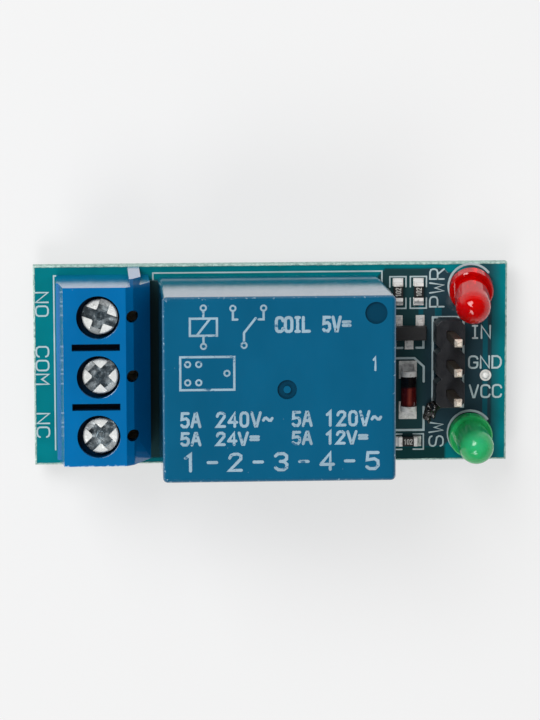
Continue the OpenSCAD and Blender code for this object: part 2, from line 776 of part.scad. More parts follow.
module relay_bobbin() {
    lug_w = coil_lead + 2 * lug_wall;
    color("ivory") in_relay() difference() {
        union() {
            translate([coil_x, 0, flange_z]) {
                cylinder(h = bobbin_h, r = tube_r);
                bobbin_flange(0);
                bobbin_flange(bobbin_h - flange_t);
            }
            for (s = [-1, 1])
                translate([coil_x, s > 0 ? winding_r : -side_y - lug_w / 2, flange_z])
                    cube([coil_lead_x + lug_w / 2 - coil_x, side_y + lug_w / 2 - winding_r,
                        flange_t]);
        }
        translate([coil_x, 0, flange_z - CUT])
            cylinder(h = bobbin_h + 2 * CUT, r = core_r + core_play);
        for (s = [-1, 1])
            post([coil_lead_x, s * side_y], [coil_lead, coil_lead], 0, relay_h);
    }
}

module coil_winding() {
    color("peru") in_relay() translate([coil_x, 0, flange_z + flange_t]) difference() {
        cylinder(h = bobbin_h - 2 * flange_t, r = winding_r);
        translate([0, 0, -CUT])
            cylinder(h = bobbin_h + 2 * CUT, r = tube_r + core_play);
    }
}

module coil_leads() {
    color("silver") for (i = [2, 3]) lead_bar(RELAY_LEADS[i], flange_z + flange_t + lug_pin);
}

module common_terminal() {
    color("darkgoldenrod") {
        lead_bar(RELAY_LEADS[4], armature_z - common_drop);
        in_relay() translate([yoke_x, -spring_w / 2, base_top])
            cube([common_t, spring_w, armature_z - common_drop - base_top]);
    }
}

module relay_armature() {
    tip = coil_x - pole_r - armature_nose;
    color("lightslategray") in_relay() translate([tip, -armature_w / 2, armature_z])
        cube([yoke_x - tip, armature_w, armature_t]);
}

module contact_spring() {
    color("darkgoldenrod") in_relay() difference() {
        translate([spring_tip, -spring_w / 2, spring_z])
            cube([yoke_x - spring_tip, spring_w, spring_t]);
        translate([button_x, 0, 0]) cylinder(h = relay_h, r = button_r / 2);
    }
}

module moving_contacts() {
    color("silver") in_relay() translate([button_x, 0, spring_z]) {
        translate([0, 0, -button_h]) cylinder(h = button_h, r = button_r);
        cylinder(h = spring_t, r = button_r / 2);
        translate([0, 0, spring_t]) cylinder(h = button_h, r = button_r);
    }
}

// A fixed contact: a tab under or over the moving contact, bent down into its lead
module fixed_strip(i, tab_z) {
    s = RELAY_LEADS[i][1] > 0 ? 1 : -1;
    edge = side_y + strip_t / 2;
    color("goldenrod") {
        lead_bar(RELAY_LEADS[i], tab_z + strip_tab);
        in_relay() translate([spring_tip, s > 0 ? -button_r - button_edge : -edge, tab_z])
            cube([fixed_x + strip_w / 2 - spring_tip, edge + button_r + button_edge, strip_tab]);
    }
}

module no_strip() {
    fixed_strip(1, no_strip_z);
}

module nc_strip() {
    fixed_strip(0, nc_strip_z);
}

module fixed_contacts() {
    color("silver") in_relay() {
        translate([button_x, 0, no_face - button_h]) cylinder(h = button_h, r = button_r);
        translate([button_x, 0, nc_face]) cylinder(h = upper_button_h, r = button_r);
    }
}

// Pin header

module header_strip() {
    color("#202226") on_board() difference() {
        for (lead = HEADER_LEADS) translate([lead[0], lead[1], 0]) linear_extrude(strip_side)
            cut_corners(strip_side, pin_pitch, strip_notch);
        for (lead = HEADER_LEADS)
            post([lead[0], lead[1]], [lead[2], lead[3]], -CUT, strip_side + CUT);
    }
}

// A square pin that tapers at its upper tip
module header_pins() {
    color("gold") for (lead = HEADER_LEADS) {
        lead_bar(lead, pin_rise - pin_taper);
        on_board() translate([lead[0], lead[1], pin_rise - pin_taper])
            linear_extrude(pin_taper, scale = 0.5) square(pin_side, center = true);
    }
}

// Lamps, drawn about the middle of their flange

// Height of a leaning flange's middle, with its low side on the board
function lamp_lift(lean) = lamp_flange_r * sin(norm(lean));

// Height at which the upright leads end, just under the leaning flange
function lead_end(lean) = lamp_lift(lean) - lamp_leg / 2 * tan(abs(lean[0]))
    - (lamp_pitch + lamp_leg) / 2 * tan(abs(lean[1]));

module lean_lamp(y, lean) {
    on_board() translate([lamp_x, y, lamp_lift(lean)]) rotate([lean[0], -lean[1], 0])
        children();
}

// Stamped frame: a wide cup side and a slim wire side, both inside the moulded lens
module lamp_stamping() {
    reach = lamp_pitch / 2;
    half = lamp_leg / 2;
    cup_x = cup_d / 2;
    wire_x = cup_x + frame_gap;
    rotate([90, 0, 0]) translate([0, 0, -half]) linear_extrude(lamp_leg) {
        polygon([
            [reach - half, -frame_sink], [reach + half, -frame_sink],
            [reach + half, frame_bend], [wire_x + wire_post, frame_neck],
            [wire_x + wire_post, frame_h], [wire_x, frame_h], [wire_x, frame_neck],
            [reach - half, frame_bend]
        ]);
        polygon([
            [-reach - half, -frame_sink], [-reach + half, -frame_sink],
            [-reach + half, frame_bend], [cup_x, frame_neck], [cup_x, frame_h],
            [cup_x - cup_d, frame_h - cup_d], [cup_x - cup_l + 2 * cup_d, frame_h - cup_d],
            [cup_x - cup_l + cup_d, frame_h], [cup_x - cup_l, frame_h],
            [cup_x - cup_l, frame_neck], [-reach - half, frame_bend]
        ]);
    }
}

module lamp_frame(k, lean) {
    lean_lamp(LAMP_Y[k], lean) lamp_stamping();
    for (i = [0, 1]) lead_bar(LAMP_LEADS[2 * k + i], lead_end(lean));
}

module lamp_lens(k, lean) {
    straight = lamp_h - lamp_r;
    steps = 10;
    lean_lamp(LAMP_Y[k], lean) difference() {
        rotate_extrude() polygon(concat(
            [[0, 0], [lamp_flange_r, 0], [lamp_flange_r, lamp_flange_t - flange_bevel],
                [lamp_flange_r - flange_bevel, lamp_flange_t], [lamp_r, lamp_flange_t]],
            [for (i = [0:steps]) let (a = 90 * i / steps)
                [lamp_r * cos(a), straight + lamp_r * sin(a)]]
        ));
        lamp_stamping();
    }
}

// Chip parts

module at_chip(i) {
    on_board() translate([CHIPS[i][0], CHIPS[i][1], copper_t]) rotate([0, 0, CHIPS[i][2]])
        children();
}

module resistor_body(i) {
    color("#1c1c20") at_chip(i)
        post([0, 0], [chip_l - 2 * chip_end, chip_w], 0, chip_h - copper_t / 2);
}

module resistor_ends(i) {
    color("silver") at_chip(i) for (s = [-1, 1])
        post([s * (chip_l - chip_end) / 2, 0], [chip_end, chip_w], 0, chip_h);
}

module at_sot() {
    on_board() translate([sot_x, sot_y, copper_t]) children();
}

// Moulded body with a parting step: both halves taper away from the middle
module transistor_body() {
    l = sot_body[0];
    w = sot_body[1];
    h = sot_body[2];
    taper = h / 10;
    color("#26262a") at_sot() translate([0, 0, sot_lift]) hull() {
        translate([-l / 2 + taper, -w / 2 + taper, 0]) cube([l - 2 * taper, w - 2 * taper, h]);
        translate([-l / 2, -w / 2, h * 0.4]) cube([l, w, sot_leg_t * 1.25]);
    }
}

// Gull-wing leg in section: out of the body, down, and flat on its pad
module transistor_legs() {
    exit_z = sot_lift + sot_body[2] * 0.4;
    t = sot_leg_t;
    side = sot_body[1] / 2;
    bend = t * 0.8; // run of the leg's upper bend
    color("silver") at_sot() for (f = SOT_FEET)
        translate([f[0], 0, 0]) rotate([0, 0, f[1] > 0 ? 0 : 180])
            rotate([90, 0, 90]) translate([0, 0, -sot_leg_w / 2]) linear_extrude(sot_leg_w)
                polygon([
                    [side, exit_z], [side + bend, exit_z], [side + 2 * bend, 0],
                    [side + sot_reach, 0], [side + sot_reach, t], [side + 3 * bend, t],
                    [side + 2 * bend, exit_z + t], [side, exit_z + t]
                ]);
}

module at_diode() {
    on_board() translate([chip_x, -diode_y, copper_t + diode_r]) rotate([-90, 0, 0]) children();
}

module diode_ends() {
    color("silver") at_diode() for (s = [-1, 1]) mirror([0, 0, s > 0 ? 0 : 1]) {
        translate([0, 0, diode_l / 2 - diode_cap]) cylinder(h = diode_cap, r = diode_r);
        translate([0, 0, die_t / 2]) cylinder(h = diode_l / 2 - diode_cap, r = stud_r);
    }
}

module diode_glass() {
    color("darkorange") at_diode() difference() {
        cylinder(h = glass_l, r = diode_r * 0.98, center = true);
        cylinder(h = glass_l + CUT, r = stud_r, center = true);
    }
}

module diode_die() {
    color("black") at_diode() cylinder(h = die_t, r = stud_r * 0.9, center = true);
}

circuit_board();
tinned_pads();
lead_solder();
chip_solder();
terminal_housing();
contact_bar(0);  // contact_bar_no
contact_bar(1);  // contact_bar_com
contact_bar(2);  // contact_bar_nc
clamp_cage(0);  // clamp_cage_no
clamp_cage(1);  // clamp_cage_com
clamp_cage(2);  // clamp_cage_nc
clamp_screw(0);  // clamp_screw_no
clamp_screw(1);  // clamp_screw_com
clamp_screw(2);  // clamp_screw_nc
relay_cover();
relay_base();
relay_bobbin();
coil_winding();
coil_core();
coil_leads();
relay_yoke();
relay_armature();
contact_spring();
moving_contacts();
common_terminal();
no_strip();
nc_strip();
fixed_contacts();
header_strip();
header_pins();
color("red") lamp_lens(0, power_lean);  // power_lamp_lens
color("silver") lamp_frame(0, power_lean);  // power_lamp_frame
color("limegreen") lamp_lens(1, switch_lean);  // switch_lamp_lens
color("silver") lamp_frame(1, switch_lean);  // switch_lamp_frame
resistor_body(0);  // resistor_1_body
resistor_ends(0);  // resistor_1_ends
resistor_body(1);  // resistor_2_body
resistor_ends(1);  // resistor_2_ends
resistor_body(2);  // resistor_3_body
resistor_ends(2);  // resistor_3_ends
transistor_body();
transistor_legs();
diode_glass();
diode_ends();
diode_die();
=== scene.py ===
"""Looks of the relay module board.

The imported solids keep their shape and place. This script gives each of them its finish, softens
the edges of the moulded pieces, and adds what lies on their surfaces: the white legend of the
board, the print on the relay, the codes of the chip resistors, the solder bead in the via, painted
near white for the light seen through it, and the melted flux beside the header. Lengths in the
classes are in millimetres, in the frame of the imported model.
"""

import json
import logging
import math
from dataclasses import dataclass, field
from enum import Enum
from functools import cached_property, partialmethod
from typing import Dict, List, Optional, Sequence, Tuple

import bpy
import numpy as np
from mathutils import Matrix, Vector

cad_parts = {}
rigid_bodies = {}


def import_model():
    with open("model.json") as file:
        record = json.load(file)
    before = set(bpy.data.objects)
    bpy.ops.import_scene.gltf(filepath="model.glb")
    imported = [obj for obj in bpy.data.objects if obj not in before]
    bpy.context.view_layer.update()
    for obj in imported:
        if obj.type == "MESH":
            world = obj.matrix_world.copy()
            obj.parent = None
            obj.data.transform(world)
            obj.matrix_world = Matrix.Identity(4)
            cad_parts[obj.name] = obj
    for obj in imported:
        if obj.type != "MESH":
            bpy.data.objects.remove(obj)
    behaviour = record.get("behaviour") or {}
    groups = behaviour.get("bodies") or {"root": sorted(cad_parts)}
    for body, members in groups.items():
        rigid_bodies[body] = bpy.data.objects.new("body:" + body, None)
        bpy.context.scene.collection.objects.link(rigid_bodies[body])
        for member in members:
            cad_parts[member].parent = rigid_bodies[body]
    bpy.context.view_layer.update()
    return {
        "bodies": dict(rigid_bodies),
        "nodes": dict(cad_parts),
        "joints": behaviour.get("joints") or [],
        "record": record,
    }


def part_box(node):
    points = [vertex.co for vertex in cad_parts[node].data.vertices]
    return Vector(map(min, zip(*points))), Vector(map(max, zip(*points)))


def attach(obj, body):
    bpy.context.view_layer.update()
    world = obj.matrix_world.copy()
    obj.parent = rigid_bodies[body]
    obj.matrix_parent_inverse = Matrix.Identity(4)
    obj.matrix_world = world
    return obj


LOG = logging.getLogger("relay_board")
MM = 0.001
SINK = 0.004  # how far print reaches into its ground, in millimetres
RGB = Tuple[float, float, float]
Triple = Tuple[float, float, float]
Point = Tuple[float, float]
Box = Tuple[np.ndarray, np.ndarray]
Socket = bpy.types.NodeSocket


class Turn(Enum):
    """Which way a word is read: along +X, up the board or down it."""

    LEVEL = "level"
    UP = "up"
    DOWN = "down"


@dataclass(frozen=True)
class Window:
    """A rectangle on the board with its corners cut.

    Attributes:
        low: Corner with the smallest X and Y.
        high: Corner with the largest X and Y.
        cut: Length that each corner loses along both sides.
    """

    low: Point
    high: Point
    cut: float = 0.0

    @property
    def middle(self) -> Point:
        """Middle of the rectangle."""
        return ((self.low[0] + self.high[0]) / 2, (self.low[1] + self.high[1]) / 2)

    @property
    def half(self) -> Point:
        """Half of each side."""
        return ((self.high[0] - self.low[0]) / 2, (self.high[1] - self.low[1]) / 2)

    def grown(self, by: float) -> "Window":
        """Returns the rectangle moved out by a length on every side."""
        return Window((self.low[0] - by, self.low[1] - by), (self.high[0] + by, self.high[1] + by),
                      self.cut + by * 0.6)


def in_mm(box: Sequence[Vector]) -> Box:
    """Returns both corners of a box in millimetres."""
    low, high = (np.array(corner) / MM for corner in box)
    return low, high


def dim(colour: RGB, share: float) -> RGB:
    """Returns a colour whose parts are multiplied by a share."""
    return tuple(part * share for part in colour)


def link(name: str, data: bpy.types.ID) -> bpy.types.Object:
    """Puts a mesh, a lamp or a camera into the scene.

    Args:
        name: Name of the new object.
        data: What it holds.

    Returns:
        The object.
    """
    made = bpy.data.objects.new(name, data)
    bpy.context.scene.collection.objects.link(made)
    return made


# ---------------------------------------------------------------- materials


class Graph:
    """Node tree of a material or of the world, with a call for each kind of node in use."""

    def __init__(self, tree: bpy.types.NodeTree) -> None:
        """Starts with a tree, which loses the nodes it has."""
        self.tree = tree
        self.tree.nodes.clear()

    def feed(self, socket: Socket, value: object) -> None:
        """Links a socket into an input, or sets the input's own value.

        Args:
            socket: Input to feed.
            value: A node socket, a number or a colour of three parts.
        """
        if isinstance(value, bpy.types.NodeSocket):
            self.tree.links.new(value, socket)
        elif isinstance(value, (tuple, list)) and len(value) == 3 and socket.type == "RGBA":
            socket.default_value = (*value, 1.0)
        else:
            socket.default_value = value

    def fill(self, node: bpy.types.Node, inputs: Dict[str, object]) -> None:
        """Feeds the inputs of a node by name; an underscore stands for a space."""
        for name, value in inputs.items():
            self.feed(node.inputs[name.replace("_", " ")], value)

    def node(self, kind: str, **inputs: object) -> bpy.types.Node:
        """Adds a node.

        Args:
            kind: Its type without the leading ShaderNode.
            inputs: What its inputs get, by name.

        Returns:
            The node.
        """
        node = self.tree.nodes.new("ShaderNode" + kind)
        self.fill(node, inputs)
        return node

    @cached_property
    def place(self) -> Socket:
        """Object coordinates in millimetres."""
        scale = self.node("VectorMath")
        scale.operation = "SCALE"
        self.feed(scale.inputs["Scale"], 1.0 / MM)
        self.feed(scale.inputs[0], self.node("TexCoord").outputs["Object"])
        return scale.outputs[0]

    def part(self, vector: Socket, letter: str) -> Socket:
        """Returns the X, Y or Z part of a vector."""
        return self.node("SeparateXYZ", Vector=vector).outputs[letter]

    def axis(self, letter: str) -> Socket:
        """Returns one of the object coordinates X, Y or Z in millimetres."""
        return self.part(self.place, letter)

    def off(self, letter: str, middle: float) -> Socket:
        """Returns how far one of the object coordinates lies from a middle."""
        return self.math("ABSOLUTE", self.minus(self.axis(letter), middle))

    def facing(self) -> Socket:
        """Returns how far the surface looks up, the Z part of its own normal."""
        return self.part(self.node("NewGeometry").outputs["True Normal"], "Z")

    def stretch(self, scale: Triple) -> Socket:
        """Returns the object coordinates, each multiplied by its own factor."""
        return self.node("Mapping", Vector=self.place, Scale=scale).outputs[0]

    def noise(self, scale: float, detail: float = 3.0, rough: float = 0.5,
              vector: Optional[Socket] = None) -> Socket:
        """Returns a noise from 0 to 1, on the object coordinates unless others are given.

        Args:
            scale: Features for each millimetre.
            detail: Octaves of the noise.
            rough: Share of the finer octaves.
            vector: Other coordinates.
        """
        return self.node("TexNoise", Vector=vector or self.place, Scale=scale, Detail=detail,
                         Roughness=rough).outputs[0]

    def math(self, operation: str, a: object, b: object = 0.0, clamp: bool = False) -> Socket:
        """Returns the result of one math operation.

        Args:
            operation: Name of the operation.
            a: First number or socket.
            b: Second number or socket.
            clamp: Whether the result is kept between 0 and 1.
        """
        node = self.node("Math")
        node.operation = operation
        node.use_clamp = clamp
        self.feed(node.inputs[0], a)
        self.feed(node.inputs[1], b)
        return node.outputs[0]

    def fold(self, operation: str, result: object, *parts: object) -> Socket:
        """Returns numbers and sockets joined one after another by a math operation.

        Args:
            operation: Name of the operation.
            result: First number or socket.
            parts: The others.
        """
        for part in parts:
            result = self.math(operation, result, part)
        return result

    # sum, difference, product, smallest and largest of the numbers and sockets given
    plus = partialmethod(fold, "ADD")
    minus = partialmethod(fold, "SUBTRACT")
    times = partialmethod(fold, "MULTIPLY")
    least = partialmethod(fold, "MINIMUM")
    most = partialmethod(fold, "MAXIMUM")

    def span(self, value: Socket, low: float, high: float, start: float = 0.0,
             end: float = 1.0) -> Socket:
        """Returns a value mapped from one range to another and clamped there.

        Args:
            value: Value to map.
            low: Value that gives start.
            high: Value that gives end.
            start: Result at low.
            end: Result at high.
        """
        node = self.node("MapRange", Value=value)
        for socket, number in zip(node.inputs[1:5], (low, high, start, end)):
            socket.default_value = number
        return node.outputs[0]

    def fall(self, value: Socket, low: float, high: float) -> Socket:
        """Returns 1 below a range, 0 above it and a slope in between."""
        return self.span(value, low, high, 1.0, 0.0)

    def uneven(self, noise: Socket, low: float, high: float) -> Socket:
        """Returns a value that a noise moves between two bounds."""
        return self.span(noise, 0.3, 0.7, low, high)

    def ragged(self, value: Socket, noise: Socket, size: float) -> Socket:
        """Returns a value with a noise of some size added, so that its border is ragged."""
        return self.plus(value, self.times(noise, size))

    def mix(self, share: object, a: object, b: object, colour: bool = True) -> Socket:
        """Returns a turned into b by a share from 0 to 1.

        Args:
            share: Number or socket.
            a: Value or socket at share 0.
            b: Value or socket at share 1.
            colour: Whether these are colours and not numbers.
        """
        node = self.node("Mix")
        node.data_type, first, out = ("RGBA", 6, 2) if colour else ("FLOAT", 2, 0)
        for number, value in ((0, share), (first, a), (first + 1, b)):
            self.feed(node.inputs[number], value)
        return node.outputs[out]

    def patches(self, noise: Socket, low: float, high: float, a: object, b: object) -> Socket:
        """Returns colour a with patches of colour b, where a noise passes from low to high."""
        return self.mix(self.span(noise, low, high), a, b)

    def bump(self, height: Socket, depth: float) -> Socket:
        """Returns a normal bent by a height from 0 to 1, where 1 is a depth in millimetres."""
        return self.node("Bump", Height=height, Distance=depth * MM, Strength=1.0).outputs[0]

    def inside(self, box: Window, soft: float = 0.03) -> Socket:
        """Returns 1 inside a rectangle with cut corners and 0 outside.

        The distance is the largest of |x| - a, |y| - b and (|x| + |y| - a - b + c) / sqrt 2,
        taken from the middle of the rectangle.

        Args:
            box: The rectangle.
            soft: Half the width of the edge in millimetres.
        """
        across, up = self.off("X", box.middle[0]), self.off("Y", box.middle[1])
        a, b = box.half
        corner = self.minus(self.plus(across, up), a + b - box.cut)
        deep = self.most(self.minus(across, a), self.minus(up, b),
                         self.times(corner, math.sqrt(0.5)))
        return self.fall(deep, -soft, soft)

    def within(self, boxes: Sequence[Window]) -> Socket:
        """Returns 1 inside any of some rectangles and 0 outside."""
        return self.most(*(self.inside(box) for box in boxes))


class Paint(Graph):
    """Node tree of one material with a Principled surface."""

    def __init__(self, name: str) -> None:
        """Starts the material.

        Args:
            name: Name of the new material.
        """
        self.material = bpy.data.materials.new(name)
        self.material.use_nodes = True
        super().__init__(self.material.node_tree)
        self.surface = self.node("BsdfPrincipled")
        self.output = self.node("OutputMaterial", Surface=self.surface.outputs[0])

    def set(self, **inputs: object) -> None:
        """Feeds inputs of the Principled surface; an underscore stands for a space."""
        self.fill(self.surface, inputs)


@dataclass(frozen=True)
class Finish:
    """Look of a kind of surface, from which a material is made."""

    def coat(self, g: Paint) -> None:
        """Fills the surface of a new material; each finish has its own way."""
        raise NotImplementedError

    def make(self, name: str) -> bpy.types.Material:
        """Builds the material.

        Args:
            name: Name of the material.

        Returns:
            The material.
        """
        g = Paint(name)
        self.coat(g)
        return g.material


@dataclass(frozen=True)
class SolderMask(Finish):
    """Teal solder mask: brighter over copper, slate over bare laminate and as painted gap shade.

    Attributes:
        copper: Colour over copper.
        thin: Colour over thinly filled laminate.
        bare: Colour over bare laminate, also the painted shade in the terminal's gap.
        track: Colour over a narrow track.
        strip: Colour of the darker strip along the board's edge at the smallest Y.
        rim: Colour at the rim of bare laminate and of the painted shade in the terminal's gap.
        fibre: Colour of the broken laminate edge.
        deep: Colour in the hollows of that edge.
        windows_and_gap_shade: Places on the top without copper, and the painted shade in the
            terminal's gap.
        slip: Place of that darker strip.
        tracks: Narrow tracks inside the windows.
        glow: Spans of X over which the thinly filled laminate starts and ends.
        turn: Span of X over which bare laminate turns greener towards the relay.
        lanes: Gaps between the wide tracks of the back, for each millimetre of Y.
        half: Half of the board's length and width.
        top: Height of the upper face.
        thick: Thickness of the board.
    """

    copper: RGB = (0.0005, 0.185, 0.215)
    thin: RGB = (0.014, 0.078, 0.096)
    bare: RGB = (0.016, 0.040, 0.053)
    track: RGB = (0.006, 0.088, 0.118)
    strip: RGB = (0.006, 0.044, 0.045)
    rim: RGB = (0.004, 0.03, 0.04)
    fibre: RGB = (0.50, 0.66, 0.60)
    deep: RGB = (0.20, 0.34, 0.30)
    windows_and_gap_shade: Tuple[Window, ...] = (
        Window((9.0, -7.42), (15.85, 8.12), 0.9),
        Window((14.6, -5.9), (19.1, 7.75), 0.5),
        # painted shade in the narrow gap between the terminal and the relay, laid in the slate
        # colour
        Window((-11.3, -8.1), (-9.7, 7.3)),
    )
    slip: Window = Window((8.9, -8.8), (15.15, -7.46))
    tracks: Tuple[Window, ...] = (
        Window((18.40, -6.6), (18.84, 5.2)),
        Window((12.78, 3.0), (13.2, 5.2)),
        Window((14.2, 3.9), (14.8, 4.75)),
    )
    glow: Tuple[Point, Point] = ((16.6, 17.2), (19.0, 20.0))
    turn: Point = (13.6, 12.8)
    lanes: float = 0.235
    half: Point = (20.5, 8.65)
    top: float = 3.2
    thick: float = 1.6

    def coat(self, g: Paint) -> None:
        """Lays copper, bare laminate, painted gap shade, rims, the back's tracks and the torn edge
        in turn.

        Args:
            g: Node tree of the material.
        """
        face = g.math("GREATER_THAN", g.axis("Z"), self.top - self.thick / 2)
        # the slate colour and its rim also paint the shade in the gap between the terminal and the
        # relay
        bare = g.within(self.windows_and_gap_shade)
        rim = g.math("SUBTRACT", g.within([box.grown(0.1) for box in self.windows_and_gap_shade]), bare, True)
        copper = g.patches(g.noise(0.35, 2.0), 0.35, 0.7, self.copper, dim(self.copper, 0.84))
        # beside the header the laminate is thinly filled and glows towards its cut edge
        start, end = self.glow
        glow = g.times(g.span(g.axis("X"), *start), g.fall(g.axis("X"), *end))
        copper = g.mix(g.times(glow, face), copper, self.thin)
        # a darker strip along the board's edge below the first window
        copper = g.mix(g.times(g.inside(self.slip, 0.1), face), copper, self.strip)
        slate = g.patches(g.noise(0.5, 2.0), 0.3, 0.7, self.bare, dim(self.bare, 1.25))
        red, green, blue = self.bare
        greener = (red * 0.9, green * 1.25, blue * 1.05)
        slate = g.mix(g.span(g.axis("X"), *self.turn), slate, greener)
        slate = g.mix(g.within(self.tracks), slate, self.track)
        colour = g.mix(g.times(bare, face), copper, slate)
        colour = g.mix(g.times(rim, face, 0.55), colour, self.rim)
        lane = g.math("FRACT", g.times(g.axis("Y"), self.lanes))
        lane = g.fall(g.math("ABSOLUTE", g.minus(lane, 0.5)), 0.030, 0.045)
        colour = g.mix(g.times(lane, g.minus(1.0, face), 0.7), colour, dim(self.copper, 0.45))
        # the distance to the rim of the board is what is left of half its sides
        side = g.least(*(g.minus(half, g.math("ABSOLUTE", g.axis(letter)))
                         for letter, half in zip("XY", self.half)))
        raw = g.fall(g.ragged(side, g.noise(2.2, 5.0, 0.7), 0.16), 0.20, 0.25)
        fibre = g.patches(g.noise(3.0, 5.0, 0.7), 0.4, 0.62, self.fibre, self.deep)
        grain = g.times(g.noise(5.0, 4.0), g.span(raw, 0.0, 1.0, 0.12, 3.0))
        g.set(Base_Color=g.mix(raw, colour, fibre),
              Roughness=g.span(raw, 0.0, 1.0, 0.11, 0.85),
              Normal=g.bump(g.plus(g.times(bare, -0.6), grain), 0.03))
        g.surface.inputs["Specular IOR Level"].default_value = 0.3


@dataclass(frozen=True)
class Moulded(Finish):
    """Moulded plastic with a faint flow mottle, fine grain, pale edge scuffs and painted shade in
    hollows.

    Attributes:
        colour: Main colour.
        shade: Colour of the mottle.
        roughness: Mean roughness.
        grain: Depth of the grain in millimetres.
        specular: Strength of the gloss.
        scuff: Colour of scuffs and dust, or None where there are none.
        box: Lowest and highest corner of the piece.
        zone: Width of the scuffed zone along the edges.
        sunk: Height of the upper face; faces below it that look up lie in a recess and get painted
            shade.
        wells: Patch of the upper face with deep openings, and the height below which they get
            painted shade.
    """

    colour: RGB
    shade: RGB
    roughness: float = 0.4
    grain: float = 0.004
    specular: float = 0.5
    scuff: Optional[RGB] = None
    box: Optional[Box] = None
    zone: float = 0.5
    sunk: Optional[float] = None
    wells: Optional[Tuple[Window, float]] = None

    def coat(self, g: Paint) -> None:
        """Lays the mottle, then the scuffs and the painted shade of recesses and openings if any.

        Args:
            g: Node tree of the material.
        """
        flow = g.noise(0.22, 3.0, 0.55, g.stretch((1.0, 0.6, 1.0)))
        colour = g.patches(flow, 0.35, 0.68, self.colour, self.shade)
        if self.scuff:
            colour = self.worn(g, colour)
        # painted shade on faces that look up from below the upper face
        if self.sunk is not None:
            level = g.fall(g.axis("Z"), self.sunk, self.sunk + 0.03)
            colour = g.mix(g.times(level, g.span(g.facing(), 0.8, 0.95)), colour,
                           dim(self.colour, 0.42))
        # painted shade in the wells and in the holes beside them
        if self.wells:
            colour = g.mix(self.openings(g, *self.wells), colour, dim(self.colour, 0.16))
        g.set(Base_Color=colour,
              Roughness=g.uneven(g.noise(1.4, 4.0), self.roughness * 0.8, self.roughness * 1.3),
              Normal=g.bump(g.noise(9.0, 3.0), self.grain))
        g.surface.inputs["Specular IOR Level"].default_value = self.specular

    def worn(self, g: Paint, colour: Socket) -> Socket:
        """Returns a colour with scuffs near the edges and specks of dust.

        Near an edge the two smallest of the distances to the three pairs of sides are both small.

        Args:
            g: Node tree of the material.
            colour: The clean colour.
        """
        low, high = self.box
        x, y, z = (g.least(g.minus(g.axis(letter), low[i]), g.minus(high[i], g.axis(letter)))
                   for i, letter in enumerate("XYZ"))
        near = g.fall(g.least(g.most(x, y), g.least(g.most(y, z), g.most(x, z))), 0.0, self.zone)
        scuffs = g.span(g.ragged(g.noise(3.2, 5.0, 0.75), g.times(near, near), 0.34), 0.77, 0.83)
        points = g.node("TexVoronoi", Vector=g.place, Scale=0.9).outputs["Distance"]
        colour = g.mix(g.times(scuffs, 0.75), colour, self.scuff)
        return g.mix(g.times(g.fall(points, 0.012, 0.03), 0.5), colour, self.scuff)

    @staticmethod
    def openings(g: Paint, patch: Window, height: float) -> Socket:
        """Returns 1 in the wells of a patch and in the round holes beside it, for painted shade.

        The holes are told by their walls, which don't look up, in a row just beyond the patch.

        Args:
            g: Node tree of the material.
            patch: The patch.
            height: Height below which the wells get painted shade.
        """
        wells = g.times(g.inside(patch), g.fall(g.axis("Z"), height - 0.5, height))
        near, far, end = patch.high[0] + 0.1, patch.high[0] + 1.4, patch.half[1] - 0.4
        walls = g.times(g.span(g.facing(), 0.3, 0.2), g.math("GREATER_THAN", g.axis("X"), near))
        holes = g.times(g.math("LESS_THAN", g.axis("X"), far), walls,
                        g.span(g.off("Y", patch.middle[1]), end, end - 0.1))
        return g.most(wells, holes)


@dataclass(frozen=True)
class Metal(Finish):
    """Plated or plain metal with darker tarnish in patches and fine tool marks.

    Attributes:
        colour: Colour of the clean metal.
        tarnish: Colour of the patches.
        roughness: Mean roughness.
        patch: Patches for each millimetre.
        share: Value of the noise above which the metal is tarnished.
        grain: Depth of the marks in millimetres.
        metallic: How much it reflects as metal.
        stretch: Stretch of the marks along each axis.
    """

    colour: RGB
    tarnish: RGB
    roughness: float = 0.3
    patch: float = 1.2
    share: float = 0.55
    grain: float = 0.006
    metallic: float = 1.0
    stretch: Triple = (1.0, 1.0, 1.0)

    def coat(self, g: Paint) -> None:
        """Lays the tarnish and the marks, finer by 2.5 and by 5 than the patches.

        Args:
            g: Node tree of the material.
        """
        where = g.stretch(self.stretch)
        g.set(Base_Color=g.patches(g.noise(self.patch, 5.0, 0.65, where), self.share - 0.08,
                                   self.share + 0.10, self.colour, self.tarnish),
              Roughness=g.uneven(g.noise(self.patch * 2.5, 4.0, 0.6, where),
                                 self.roughness * 0.75, self.roughness * 1.35),
              Normal=g.bump(g.noise(self.patch * 5.0, 3.0, 0.6, where), self.grain))
        g.surface.inputs["Metallic"].default_value = self.metallic


@dataclass(frozen=True)
class PlatedScrew(Finish):
    """Nickel-plated screw head: bright flats; the driver recess dull and dark as painted shade,
    with glints.

    Attributes:
        top: Height of the head's flat face.
        flat: Colour of the flats.
        stain: Colour of the marks on the flats.
        recess_shade: Colour inside the recess, a painted shade.
        painted_glint: Colour of the painted glints there.
    """

    top: float
    flat: RGB = (0.86, 0.87, 0.84)
    stain: RGB = (0.36, 0.36, 0.34)
    recess_shade: RGB = (0.11, 0.14, 0.16)
    painted_glint: RGB = (0.55, 0.62, 0.65)

    def coat(self, g: Paint) -> None:
        """Divides flats from the recess's painted shade and glints by their height.

        Args:
            g: Node tree of the material.
        """
        deep = g.fall(g.axis("Z"), self.top - 0.16, self.top - 0.06)
        stains = g.span(g.noise(1.7, 6.0, 0.7), 0.60, 0.72)
        flat = g.mix(g.times(stains, 0.8), self.flat, self.stain)
        # painted shade in the driver recess, with painted glints in patches
        recess_shade = g.patches(g.noise(1.3, 4.0, 0.6), 0.46, 0.66, self.recess_shade, self.painted_glint)
        g.set(Base_Color=g.mix(deep, flat, recess_shade),
              Metallic=g.span(deep, 0.0, 1.0, 0.30, 0.7),
              Roughness=g.uneven(g.noise(3.0, 4.0), 0.20, 0.34),
              Normal=g.bump(g.noise(1.6, 3.0), 0.07))


